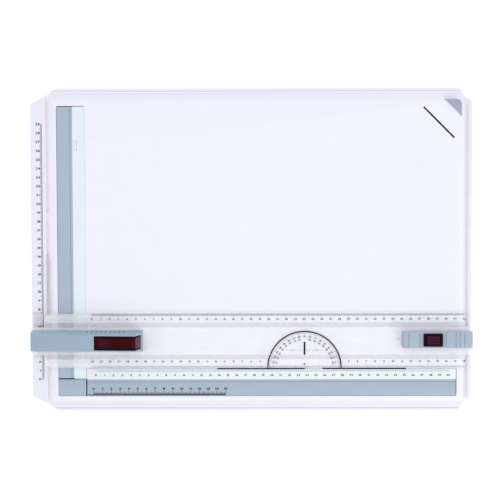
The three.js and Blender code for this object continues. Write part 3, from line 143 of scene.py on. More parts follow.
@dataclass(frozen=True)
class Finish:
    """One moulded, printed or metal surface, mottled on the piece's own coordinates."""

    name: str
    colour: Point
    tint: Point
    roughness: float
    roughness_spread: float = 0.08
    mottle_scale: float = 60.0
    mottle_detail: float = 4.0
    mottle_stops: Spot = (0.3, 0.7)
    grain_scale: float = 1400.0
    grain_detail: float = 3.0
    grain_depth: float = 0.02
    grain_height: float = 0.5 * MM
    metallic: float = 0.0
    alpha: float = 1.0
    ior: float = 1.49
    shine: float = 0.5
    stretch: Point = (1.0, 1.0, 1.0)

    def build(self) -> bpy.types.Material:
        """Make the material.

        Returns:
            A node material on Object coordinates.
        """
        material = bpy.data.materials.new(self.name)
        material.use_nodes = True
        nodes = material.node_tree.nodes
        links = material.node_tree.links
        shader = nodes["Principled BSDF"]
        shader.inputs["Metallic"].default_value = self.metallic
        shader.inputs["Alpha"].default_value = self.alpha
        shader.inputs["IOR"].default_value = self.ior
        shader.inputs["Specular IOR Level"].default_value = self.shine
        place = nodes.new("ShaderNodeTexCoord")
        mapping = nodes.new("ShaderNodeMapping")
        mapping.inputs["Scale"].default_value = self.stretch
        links.new(place.outputs["Object"], mapping.inputs["Vector"])

        mottle = nodes.new("ShaderNodeTexNoise")
        mottle.inputs["Scale"].default_value = self.mottle_scale
        mottle.inputs["Detail"].default_value = self.mottle_detail
        links.new(mapping.outputs["Vector"], mottle.inputs["Vector"])
        ramp = nodes.new("ShaderNodeValToRGB")
        stops = zip(ramp.color_ramp.elements, self.mottle_stops, (self.tint, self.colour))
        for element, position, colour in stops:
            element.position = position
            element.color = (*colour, 1.0)
        links.new(mottle.outputs["Fac"], ramp.inputs["Fac"])
        links.new(ramp.outputs["Color"], shader.inputs["Base Color"])

        rough = nodes.new("ShaderNodeMapRange")
        rough.inputs["To Min"].default_value = self.roughness - self.roughness_spread / 2
        rough.inputs["To Max"].default_value = self.roughness + self.roughness_spread / 2
        links.new(mottle.outputs["Fac"], rough.inputs["Value"])
        links.new(rough.outputs["Result"], shader.inputs["Roughness"])

        grain = nodes.new("ShaderNodeTexNoise")
        grain.inputs["Scale"].default_value = self.grain_scale
        grain.inputs["Detail"].default_value = self.grain_detail
        links.new(mapping.outputs["Vector"], grain.inputs["Vector"])
        bump = nodes.new("ShaderNodeBump")
        bump.inputs["Strength"].default_value = self.grain_depth
        bump.inputs["Distance"].default_value = self.grain_height
        links.new(grain.outputs["Fac"], bump.inputs["Height"])
        links.new(bump.outputs["Normal"], shader.inputs["Normal"])
        return material


class Palette:
    """Every finish on the board, built once."""

    def __init__(self) -> None:
        """Build the materials."""
        clear = {"roughness_spread": 0.04, "grain_depth": 0.0}
        self.white = Finish("white_abs", (0.80, 0.80, 0.90), (0.79, 0.79, 0.89), 0.42).build()
        self.rim = Finish("white_abs_rim", (0.75, 0.75, 0.86), (0.735, 0.735, 0.85), 0.45).build()
        # Painted light: a lighter copy of the white plastic for the groove faces, so the grooves show less
        # of their shade.
        self.groove = Finish(
            "white_abs_groove", (0.93, 0.90, 0.95), (0.92, 0.89, 0.94), 0.6, shine=0.2).build()
        self.cover = Finish(
            "white_abs_grained", (0.78, 0.78, 0.84), (0.76, 0.76, 0.82), 0.55, grain_depth=0.12).build()
        self.grey = Finish(
            "blue_grey_abs", (0.37, 0.445, 0.545), (0.35, 0.43, 0.53), 0.36, shine=0.4).build()
        self.head = Finish(
            "head_grey_abs", (0.30, 0.40, 0.49), (0.285, 0.38, 0.47), 0.36, shine=0.4).build()
        self.clip = Finish("clip_grey_abs", (0.37, 0.42, 0.53), (0.35, 0.40, 0.51), 0.4).build()
        # Painted shade: a dark copy of the head's grey for the ribs on the left head's far wall, standing
        # in for the shade between them.
        self.rib = Finish(
            "rib_grey_abs", (0.14, 0.17, 0.24), (0.12, 0.15, 0.22), 0.45, shine=0.2).build()
        # Painted shade: a darker copy of the grey for the ribs across the right head, standing in for
        # their shading.
        self.rib_soft = Finish("rib_soft_grey_abs", (0.24, 0.31, 0.40), (0.22, 0.29, 0.38), 0.4).build()
        self.blade = Finish(
            "clear_acrylic", (0.97, 0.97, 1.0), (0.96, 0.96, 0.995), 0.12,
            alpha=0.4, shine=0.3, **clear).build()
        # Painted shade: a darker, clearer copy of the blade's acrylic for its sloping faces, standing in
        # for how light bends there.
        self.blade_slope = Finish(
            "clear_acrylic_slope", (0.80, 0.79, 0.86), (0.78, 0.77, 0.84), 0.12, alpha=0.3, shine=0.3,
            **clear).build()
        self.lip = Finish(
            "milky_lip_acrylic", (0.80, 0.89, 0.97), (0.79, 0.88, 0.96), 0.14, alpha=0.86, shine=0.3,
            **clear).build()
        self.lip_print = Finish(
            "white_backed_acrylic", (0.86, 0.90, 0.94), (0.85, 0.89, 0.93), 0.14, alpha=0.9, shine=0.3,
            **clear).build()
        self.guide = Finish(
            "clear_guide_acrylic", (0.84, 0.81, 0.87), (0.83, 0.80, 0.86), 0.12, alpha=0.35, shine=0.3,
            **clear).build()
        self.maroon = Finish(
            "maroon_gloss", (0.038, 0.0008, 0.003), (0.032, 0.0006, 0.0025), 0.3, shine=0.06).build()
        # Painted highlight: a lighter copy of the maroon for the left button's faces turned along +X.
        self.maroon_end = Finish(
            "maroon_end_face", (0.11, 0.025, 0.055), (0.09, 0.018, 0.045), 0.35, shine=0.1).build()
        self.maroon_dark = Finish(
            "maroon_black", (0.012, 0.0016, 0.006), (0.010, 0.0012, 0.005), 0.4, shine=0.06).build()
        # Painted highlight: a lighter copy of the maroon for the buttons' raised dots, standing in for
        # light on their tops.
        self.pink_dot = Finish(
            "maroon_dot_top", (0.17, 0.03, 0.085), (0.14, 0.022, 0.07), 0.35, shine=0.1).build()
        self.black = Finish(
            "black_abs", (0.003, 0.002, 0.003), (0.004, 0.003, 0.004), 0.5, shine=0.08).build()
        self.rubber = Finish(
            "dark_rubber", (0.03, 0.03, 0.033), (0.022, 0.022, 0.025), 0.85, grain_depth=0.3).build()
        self.steel = Finish(
            "zinc_steel", (0.62, 0.62, 0.64), (0.52, 0.52, 0.55), 0.3, metallic=1.0,
            stretch=(1.0, 8.0, 1.0)).build()
        ink = {"shine": 0.05, "grain_depth": 0.0}
        self.ink = Finish(
            "black_print", (0.008, 0.008, 0.014), (0.011, 0.011, 0.02), 0.6, **ink).build()
        self.soft_ink = Finish(
            "violet_grey_print", (0.035, 0.03, 0.06), (0.045, 0.04, 0.07), 0.6, **ink).build()
        self.brown_ink = Finish(
            "brown_print", (0.12, 0.07, 0.02), (0.10, 0.06, 0.015), 0.6, **ink).build()
        self.red_ink = Finish(
            "dark_red_print", (0.2, 0.004, 0.014), (0.16, 0.003, 0.01), 0.5, **ink).build()
        self.magenta_ink = Finish(
            "magenta_print", (0.62, 0.22, 0.42), (0.58, 0.2, 0.4), 0.6, **ink).build()


# ---------------------------------------------------------------------------
# Mesh tools


def linked(data: bpy.types.ID, name: str) -> bpy.types.Object:
    """Link a mesh, curve, lamp or camera as an object at the origin.

    Args:
        data: What the object holds.
        name: The object's name.

    Returns:
        The new object.
    """
    made = bpy.data.objects.new(name, data)
    bpy.context.scene.collection.objects.link(made)
    return made


def plain_mesh(piece: bpy.types.Object) -> bpy.types.Mesh:
    """Take an object's shape, with its modifiers applied.

    Args:
        piece: The object.

    Returns:
        A new plain mesh.
    """
    graph = bpy.context.evaluated_depsgraph_get()
    graph.update()
    return bpy.data.meshes.new_from_object(piece.evaluated_get(graph), depsgraph=graph)


def finished_mesh(work: bmesh.types.BMesh, name: str, material: bpy.types.Material) -> bpy.types.Mesh:
    """Turn a work mesh into a mesh with one finish.

    Args:
        work: The work mesh, which is freed.
        name: The mesh's name.
        material: Its finish.

    Returns:
        The mesh.
    """
    mesh = bpy.data.meshes.new(name)
    work.to_mesh(mesh)
    work.free()
    mesh.materials.append(material)
    return mesh


def cut_across(work: bmesh.types.BMesh, at: Vector, axis: int) -> None:
    """Cut every face of a work mesh where a plane crosses it.

    Args:
        work: The work mesh.
        at: A point of the plane.
        axis: The axis that the plane stands across.
    """
    normal = Vector((0.0, 0.0, 0.0))
    normal[axis] = 1.0
    bmesh.ops.bisect_plane(
        work, geom=[*work.verts, *work.edges, *work.faces], plane_co=at, plane_no=normal)


def middle_of(low: Sequence[float], high: Sequence[float]) -> Point:
    """Return the middle of a box."""
    return ((low[0] + high[0]) / 2, (low[1] + high[1]) / 2, (low[2] + high[2]) / 2)


class Workshop:
    """Makes meshes, dresses them and hands them to the frame."""

    merge_distance: float = 0.002 * MM
    flat_angle: float = math.radians(0.8)
    bevel_segments: int = 3
    smooth_deg: float = 32.0
    turned_deg: float = 40.0

    def __init__(self, frame: dict) -> None:
        """Keep the loaded frame.
        """
        self.nodes: dict[str, bpy.types.Object] = frame["nodes"]

    @staticmethod
    def object_from(mesh: bpy.types.Mesh, name: str) -> bpy.types.Object:
        """Name a mesh and link it as an object at the origin."""
        mesh.name = name
        return linked(mesh, name)

    @staticmethod
    def baked(piece: bpy.types.Object) -> bpy.types.Object:
        """Turn an object's modifiers into plain mesh.

        Args:
            piece: An object with modifiers.

        Returns:
            The same object, with no modifier.
        """
        mesh = plain_mesh(piece)
        piece.modifiers.clear()
        piece.data = mesh
        mesh.name = piece.name
        return piece

    def rounded(self, piece: bpy.types.Object, width: float, segments: int,
                from_deg: float = 30.0) -> bpy.types.Object:
        """Round a piece's edges.

        Args:
            piece: The piece.
            width: Radius of the rounded edges.
            segments: Faces across a rounded edge.
            from_deg: The least angle of an edge that is rounded.

        Returns:
            The piece, with plain mesh.
        """
        bevel = piece.modifiers.new("edges", "BEVEL")
        bevel.width = width
        bevel.segments = segments
        bevel.limit_method = "ANGLE"
        bevel.angle_limit = math.radians(from_deg)
        bevel.use_clamp_overlap = True
        return self.baked(piece)

    def moulded(self, node: str, material: bpy.types.Material, edge_mm: float,
                bevel_from_deg: float = 25.0) -> bpy.types.Object:
        """Copy a node's mesh and round its edges as moulding does.

        Args:
            node: The node that the piece stands for.
            material: Its finish.
            edge_mm: Radius of the rounded edges.
            bevel_from_deg: The least angle of an edge that is rounded.

        Returns:
            The rounded piece, which doesn't ride on a body yet.
        """
        mesh = self.nodes[node].data.copy()
        work = bmesh.new()
        work.from_mesh(mesh)
        bmesh.ops.remove_doubles(work, verts=work.verts, dist=self.merge_distance)
        bmesh.ops.dissolve_limit(
            work, angle_limit=self.flat_angle, verts=work.verts, edges=work.edges)
        work.to_mesh(mesh)
        work.free()
        mesh.materials.clear()
        mesh.materials.append(material)
        piece = self.object_from(mesh, f"{node}_moulded")
        self.rounded(piece, edge_mm * MM, self.bevel_segments, bevel_from_deg)
        self.smooth(piece, self.smooth_deg)
        return piece

    def cast(self, node: str, material: bpy.types.Material, edge_mm: float, body: Body,
             slot: Slot) -> bpy.types.Object:
        """Make a node's moulded piece and give it to the frame.

        Args:
            node: The node that the piece replaces.
            material: Its finish.
            edge_mm: Radius of the rounded edges.
            body: The body that carries it.
            slot: The record's material slot for it.

        Returns:
            The piece.
        """
        return self.place(self.moulded(node, material, edge_mm), body, slot, [node])

    def copies(self, shape: bpy.types.Object, places: Sequence[Point], name: str,
               tree: bpy.types.NodeTree, material: bpy.types.Material) -> bpy.types.Object:
        """Stand copies of a shape at many places.

        Args:
            shape: The shape's object, which is removed afterwards.
            places: Where each copy stands.
            name: The piece's name.
            tree: The tree that makes the copies.
            material: Their finish.

        Returns:
            The piece, which doesn't ride on a body yet.
        """
        seats = bpy.data.meshes.new(name)
        seats.from_pydata(list(places), [], [])
        piece = self.object_from(seats, name)
        run_tree(piece, tree, Shape=shape, Size=1.0, Material=material)
        bpy.data.objects.remove(shape)
        self.smooth(piece, self.turned_deg)
        return piece

    @staticmethod
    def paint(piece: bpy.types.Object, material: bpy.types.Material,
              where: Callable[[bpy.types.MeshPolygon], bool]) -> None:
        """Give some faces of a piece another finish.

        Args:
            piece: The piece.
            material: The other finish.
            where: Says whether a face takes it.
        """
        piece.data.materials.append(material)
        index = len(piece.data.materials) - 1
        for face in piece.data.polygons:
            if where(face):
                face.material_index = index

    @staticmethod
    def smooth(piece: bpy.types.Object, angle_deg: float) -> None:
        """Shade a piece smooth across edges flatter than an angle."""
        piece.data.polygons.foreach_set("use_smooth", [True] * len(piece.data.polygons))
        piece.data.set_sharp_from_angle(angle=math.radians(angle_deg))

    @staticmethod
    def place(piece: bpy.types.Object, body: Body, slot: Slot | None = None,
              stands_for: Sequence[str] = ()) -> bpy.types.Object:
        """Give a finished piece to the frame.

        Args:
            piece: The finished piece.
            body: The body that carries it.
            slot: The record's material slot for it; not used.
            stands_for: CAD nodes that it replaces.

        Returns:
            The piece.
        """
        if stands_for:
            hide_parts(*stands_for)
        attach(piece, body.value)
        LOG.info("%s rides on %s with %d faces", piece.name, body.value, len(piece.data.polygons))
        return piece

    def joined(self, meshes: Iterable[bpy.types.Mesh], name: str) -> bpy.types.Object:
        """Join several meshes into one object.

        Args:
            meshes: The meshes, already in place.
            name: The object's name.

        Returns:
            One object with every mesh and its materials.
        """
        work = bmesh.new()
        materials: list[bpy.types.Material] = []
        for mesh in meshes:
            start = len(work.faces)
            work.from_mesh(mesh)
            work.faces.ensure_lookup_table()
            for face in work.faces[start:]:
                material = mesh.materials[face.material_index] if mesh.materials else None
                if material not in materials:
                    materials.append(material)
                face.material_index = materials.index(material)
            bpy.data.meshes.remove(mesh)
        result = bpy.data.meshes.new(name)
        work.to_mesh(result)
        work.free()
        for material in materials:
            result.materials.append(material)
        return self.object_from(result, name)


def box_mesh(low: Point, high: Point, material: bpy.types.Material,
             splits: int = 1) -> bpy.types.Mesh:
    """Make a thin closed bar, cut across its longer side.

    Args:
        low: Lowest corner.
        high: Highest corner.
        material: Its finish.
        splits: How many stretches its longer side is cut into.

    Returns:
        The bar's mesh.
    """
    work = bmesh.new()
    bmesh.ops.create_cube(work, size=1.0)
    size = Vector(high) - Vector(low)
    centre = (Vector(low) + Vector(high)) / 2
    bmesh.ops.transform(
        work, matrix=Matrix.Translation(centre) @ Matrix.Diagonal((*size, 1.0)), verts=work.verts)
    axis = 0 if size.x > size.y else 1
    for step in range(1, splits):
        at = Vector(low)
        at[axis] += size[axis] * step / splits
        cut_across(work, at, axis)
    return finished_mesh(work, "bar", material)


def lathe_mesh(profile: Sequence[Spot], sides: int,
               material: bpy.types.Material) -> bpy.types.Mesh:
    """Turn a profile about Z into a closed mesh.

    Args:
        profile: Radius and height of each point, from axis to axis.
        sides: Divisions round the axis.
        material: Its finish.

    Returns:
        The turned mesh.
    """
    work = bmesh.new()
    rings: list[list[bmesh.types.BMVert]] = []
    for radius, height in profile:
        if radius == 0.0:
            rings.append([work.verts.new((0.0, 0.0, height))])
            continue
        rings.append([
            work.verts.new((radius * math.cos(2 * math.pi * step / sides),
                            radius * math.sin(2 * math.pi * step / sides), height))
            for step in range(sides)])
    for below, above in zip(rings, rings[1:]):
        for step in range(sides):
            after = (step + 1) % sides
            corners = [below[step % len(below)], below[after % len(below)],
                       above[after % len(above)], above[step % len(above)]]
            unique = list(dict.fromkeys(corners))
            if len(unique) > 2:
                work.faces.new(unique)
    bmesh.ops.recalc_face_normals(work, faces=work.faces)
    return finished_mesh(work, "turned", material)


def ring_mesh(centre: Vector, inner: float, outer: float, depth: float,
              material: bpy.types.Material, steps: int = 96) -> bpy.types.Mesh:
    """Make the upper half of a flat ring as a closed mesh.

    Args:
        centre: The ring's centre.
        inner: Its inner radius.
        outer: Its outer radius.
        depth: Its thickness.
        material: Its finish.
        steps: Divisions round the half circle.

    Returns:
        The ring's mesh.
    """
    work = bmesh.new()
    rows = []
    for step in range(steps + 1):
        angle = math.pi * step / steps
        along = Vector((math.cos(angle), math.sin(angle), 0.0))
        rows.append([work.verts.new(centre + along * reach + Vector((0, 0, height)))
                     for reach, height in ((inner, 0.0), (outer, 0.0), (outer, depth), (inner, depth))])
    for here, after in zip(rows, rows[1:]):
        for side in range(4):
            following = (side + 1) % 4
            work.faces.new([here[side], here[following], after[following], after[side]])
    work.faces.new(rows[0][::-1])
    work.faces.new(rows[-1])
    bmesh.ops.recalc_face_normals(work, faces=work.faces)
    return finished_mesh(work, "ring", material)


def draped(mesh: bpy.types.Mesh, surface: Surface) -> bpy.types.Mesh:
    """Lift a print's points onto a surface.

    Args:
        mesh: A print lying at height 0.
        surface: Height of the surface at a place.

    Returns:
        The same mesh.
    """
    for vertex in mesh.vertices:
        vertex.co.z += surface(vertex.co.x, vertex.co.y)
    return mesh


# ---------------------------------------------------------------------------
# Geometry Nodes


class TreeMaker:
    """Builds one Geometry Nodes tree, a node at a time."""

    def __init__(self, name: str) -> None:
        """Start an empty tree with a geometry input and output.

        Args:
            name: The tree's name.
        """
        self.tree = bpy.data.node_groups.new(name, "GeometryNodeTree")
        self.tree.interface.new_socket("Geometry", in_out="INPUT", socket_type="NodeSocketGeometry")
        self.tree.interface.new_socket("Geometry", in_out="OUTPUT", socket_type="NodeSocketGeometry")
        self.source = self.tree.nodes.new("NodeGroupInput")
        self.sink = self.tree.nodes.new("NodeGroupOutput")

    def size(self, name: str, kind: str, value: object) -> None:
        """Add a named input.

        Args:
            name: The input's name.
            kind: Its socket type.
            value: Its default.
        """
        socket = self.tree.interface.new_socket(name, in_out="INPUT", socket_type=kind)
        if value is not None:
            socket.default_value = value

    def node(self, kind: str, inputs: dict | None = None, **settings: object) -> bpy.types.Node:
        """Add a node and join its inputs.

        Args:
            kind: The node's type.
            inputs: Input name or number to a value or to an output socket.
            settings: Properties of the node.

        Returns:
            The node.
        """
        made = self.tree.nodes.new(kind)
        for key, value in settings.items():
            setattr(made, key, value)
        for key, value in (inputs or {}).items():
            if isinstance(value, bpy.types.NodeSocket):
                self.tree.links.new(value, made.inputs[key])
            else:
                made.inputs[key].default_value = value
        return made

    def given(self, name: str) -> bpy.types.NodeSocket:
        """Return the output of a named input."""
        return self.source.outputs[name]

    def maths(self, operation: str, first: object, second: object = 0.0) -> bpy.types.NodeSocket:
        """Add a Math node.

        Args:
            operation: The sum to do.
            first: Its first value or socket.
            second: Its second value or socket.

        Returns:
            The result's socket.
        """
        return self.node("ShaderNodeMath", {0: first, 1: second}, operation=operation).outputs[0]

    def finish(self, instances: bpy.types.NodeSocket) -> bpy.types.NodeTree:
        """End the tree in Realize Instances and Set Material.

        Args:
            instances: The instances' socket.

        Returns:
            The finished tree.
        """
        real = self.node("GeometryNodeRealizeInstances", {0: instances})
        dressed = self.node(
            "GeometryNodeSetMaterial", {"Geometry": real.outputs[0], "Material": self.given("Material")})
        self.tree.links.new(dressed.outputs[0], self.sink.inputs[0])
        return self.tree


def tick_tree() -> bpy.types.NodeTree:
    """Make the tree for a ruled scale: one bar a division, longer at fives and tens.

    Returns:
        The tree.
    """
    make = TreeMaker("ruled_scale")
    make.size("Count", "NodeSocketInt", 11)
    make.size("Pitch", "NodeSocketFloat", 0.001)
    make.size("First", "NodeSocketInt", 0)
    make.size("Short", "NodeSocketFloat", 0.002)
    make.size("Five", "NodeSocketFloat", 0.003)
    make.size("Ten", "NodeSocketFloat", 0.004)
    make.size("Width", "NodeSocketFloat", 0.0002)
    make.size("Height", "NodeSocketFloat", 0.00004)
    make.size("Material", "NodeSocketMaterial", None)
    offset = make.node("ShaderNodeCombineXYZ", {"X": make.given("Pitch")})
    line = make.node("GeometryNodeMeshLine", {
        "Count": make.given("Count"), "Offset": offset.outputs[0]})
    bar = make.node("GeometryNodeMeshCube", {
        "Size": (1.0, 1.0, 1.0), "Vertices X": 2, "Vertices Y": 4, "Vertices Z": 2})
    seated = make.node("GeometryNodeTransform", {
        "Geometry": bar.outputs[0], "Translation": (0.0, 0.5, 0.5)})
    index = make.node("GeometryNodeInputIndex").outputs[0]
    number = make.maths("ADD", index, make.given("First"))
    off_five = make.maths("MINIMUM", make.maths("ABSOLUTE", make.maths("MODULO", number, 5.0)), 1.0)
    off_ten = make.maths("MINIMUM", make.maths("ABSOLUTE", make.maths("MODULO", number, 10.0)), 1.0)
    five_or_short = make.maths("ADD", make.given("Five"), make.maths(
        "MULTIPLY", off_five, make.maths("SUBTRACT", make.given("Short"), make.given("Five"))))
    length = make.maths("ADD", make.given("Ten"), make.maths(
        "MULTIPLY", off_ten, make.maths("SUBTRACT", five_or_short, make.given("Ten"))))
    scale = make.node("ShaderNodeCombineXYZ", {
        "X": make.given("Width"), "Y": length, "Z": make.given("Height")})
    copies = make.node("GeometryNodeInstanceOnPoints", {
        "Points": line.outputs[0], "Instance": seated.outputs[0], "Scale": scale.outputs[0]})
    return make.finish(copies.outputs[0])


def copies_tree() -> bpy.types.NodeTree:
    """Make the tree that stands a shape on every point of its own mesh.

    Returns:
        The tree.
    """
    make = TreeMaker("copies_on_points")
    make.size("Shape", "NodeSocketObject", None)
    make.size("Size", "NodeSocketFloat", 1.0)
    make.size("Material", "NodeSocketMaterial", None)
    shape = make.node("GeometryNodeObjectInfo", {"Object": make.given("Shape")})
    copies = make.node("GeometryNodeInstanceOnPoints", {
        "Points": make.given("Geometry"), "Instance": shape.outputs["Geometry"],
        "Scale": make.given("Size")})
    return make.finish(copies.outputs[0])


def run_tree(piece: bpy.types.Object, tree: bpy.types.NodeTree, **sizes: object) -> bpy.types.Object:
    """Run a tree on an object and keep the result as plain mesh.

    Args:
        piece: The object whose mesh the tree reads.
        tree: The tree.
        sizes: Input name, with _ for a space, to its value.

    Returns:
        The object.
    """
    modifier = piece.modifiers.new(tree.name, "NODES")
    modifier.node_group = tree
    for item in tree.interface.items_tree:
        key = item.name.replace(" ", "_")
        if item.in_out == "INPUT" and key in sizes:
            modifier[item.identifier] = sizes[key]
    piece.data.update()
    return Workshop.baked(piece)


# ---------------------------------------------------------------------------
# Printing


class Numerals:
    """Plain figures, each made once as mesh and copied where a scale needs it."""

    swelling: float = 0.03
    spacing: float = 0.06
    figure_height: float = 0.7
    merge_distance: float = 0.0001 * MM

    def __init__(self, depth: float) -> None:
        """Make the ten figures.

        Args:
            depth: Thickness of the ink.
        """
        self.shapes: dict[str, tuple[list[Point], list[Face]]] = {}
        self.widths: dict[str, float] = {}
        for figure in "0123456789":
            curve = bpy.data.curves.new("figure", "FONT")
            curve.body = figure
            curve.size = 1.0
            curve.resolution_u = 2
            curve.extrude = 0.5
            curve.offset = self.swelling
            holder = linked(curve, "figure")
            mesh = plain_mesh(holder)
            points = [(v.co.x, v.co.y, (v.co.z + 0.5) * depth) for v in mesh.vertices]
            self.shapes[figure] = (points, [tuple(p.vertices) for p in mesh.polygons])
            self.widths[figure] = max(p[0] for p in points) + self.spacing
            bpy.data.meshes.remove(mesh)
            bpy.data.objects.remove(holder)
            bpy.data.curves.remove(curve)

    def mesh(self, labels: Iterable[Label], height: float,
             material: bpy.types.Material, bold: float = 1.0) -> bpy.types.Mesh:
        """Set many numbers at once.

        Args:
            labels: For each number, its text, its middle and its turn in radians.
            height: Height of the figures.
            material: The ink.
            bold: How much wider than plain the figures are.

        Returns:
            One mesh with every number, lying at height 0.
        """
        points: list[Point] = []
        faces: list[Face] = []
        scale = height / self.figure_height
        for text, x, y, turn in labels:
            width = sum(self.widths[c] for c in text) * scale * bold
            pen = -width / 2
            for figure in text:
                shape, polygons = self.shapes[figure]
                start = len(points)
                for px, py, pz in shape:
                    along = pen + px * scale * bold
                    up = py * scale - height / 2
                    points.append((
                        x + along * math.cos(turn) - up * math.sin(turn),
                        y + along * math.sin(turn) + up * math.cos(turn), pz))
                faces.extend(tuple(start + i for i in polygon) for polygon in polygons)
                pen += self.widths[figure] * scale * bold
        mesh = bpy.data.meshes.new("numbers")
        mesh.from_pydata(points, [], faces)
        mesh.materials.append(material)
        work = bmesh.new()
        work.from_mesh(mesh)
        bmesh.ops.remove_doubles(work, verts=work.verts, dist=self.merge_distance)
        bmesh.ops.recalc_face_normals(work, faces=work.faces)
        work.to_mesh(mesh)
        work.free()
        return mesh


@dataclass
class Scale:
    """A ruled scale: ticks from a base line, with numbers beside them."""

    origin: Spot
    direction: float
    count: int
    short: float = 2.0 * MM
    five: float = 3.0 * MM
    ten: float = 4.0 * MM
    pitch: float = 1.0 * MM
    width: float = 0.22 * MM
    first: int = 0
    flip: bool = False

    def ticks(self, tree: bpy.types.NodeTree, ink: bpy.types.Material, depth: float) -> bpy.types.Mesh:
        """Rule the ticks.

        Args:
            tree: The tick tree.
            ink: Their finish.
            depth: Thickness of the ink.

        Returns:
            The ticks' mesh, lying at height 0.
        """
        seed = bpy.data.meshes.new("ticks")
        holder = Workshop.object_from(seed, "ticks")
        run_tree(holder, tree, Count=self.count, Pitch=self.pitch, First=self.first,
                 Short=self.short, Five=self.five, Ten=self.ten, Width=self.width,
                 Height=depth, Material=ink)
        mesh = holder.data
        turn = Matrix.Rotation(self.direction, 4, "Z")
        side = Matrix.Diagonal((1.0, -1.0, 1.0, 1.0)) if self.flip else Matrix.Identity(4)
        mesh.transform(Matrix.Translation((*self.origin, 0.0)) @ turn @ side)
        if self.flip:
            mesh.flip_normals()
        bpy.data.objects.remove(holder)
        return mesh

    def at(self, division: float) -> Spot:
        """Find the place of a division on the base line.

        Args:
            division: Which division, from 0.

        Returns:
            Its place.
        """
        reach = division * self.pitch
        return (self.origin[0] + reach * math.cos(self.direction),
                self.origin[1] + reach * math.sin(self.direction))

    def length(self) -> float:
        """Return the distance from the first division to the last."""
        return (self.count - 1) * self.pitch

    def labels(self, centimetres: Iterable[int], aside: float, from_end: int = 0) -> list[Label]:
        """Set a number beside each of some centimetres.

        Args:
            centimetres: Which centimetres, counted from the scale's origin.
            aside: Distance from the base line, to the left of the scale's direction.
            from_end: Centimetre that numbers are counted back from, or 0 to count up.

        Returns:
            The labels.
        """
        across = self.direction + math.pi / 2
        labels = []
        for centimetre in centimetres:
            x, y = self.at(centimetre * 10)
            number = from_end - centimetre if from_end else centimetre
            labels.append((
                str(number), x + aside * math.cos(across), y + aside * math.sin(across), 0.0))
        return labels


@dataclass
class Printer:
    """Prints scales on the board's surfaces."""

    shop: Workshop
    palette: Palette
    ink_depth: float = 0.05 * MM
    tree: bpy.types.NodeTree = field(init=False)
    numerals: Numerals = field(init=False)

    def __post_init__(self) -> None:
        """Make the tick tree and the figures."""
        self.tree = tick_tree()
        self.numerals = Numerals(self.ink_depth)

    def ticks(self, scale: Scale, ink: bpy.types.Material) -> bpy.types.Mesh:
        """Rule a scale's ticks in an ink."""
        return scale.ticks(self.tree, ink, self.ink_depth)

    def bar(self, low: Spot, high: Spot, ink: bpy.types.Material, splits: int = 1) -> bpy.types.Mesh:
        """Print a bar between two corners, lying at height 0."""
        return box_mesh((*low, 0.0), (*high, self.ink_depth), ink, splits)

    def apply(self, name: str, meshes: Iterable[bpy.types.Mesh], surface: Surface,
              body: Body) -> bpy.types.Object:
        """Join prints, lay them on a surface and give them to a body.

        Args:
            name: The piece's name.
            meshes: The prints, lying at height 0.
            surface: Height of the surface at a place.
            body: The body that carries it.

        Returns:
            The piece.
        """
        piece = self.shop.joined([draped(mesh, surface) for mesh in meshes], name)
        return self.shop.place(piece, body)


# ---------------------------------------------------------------------------
# Sub-assemblies


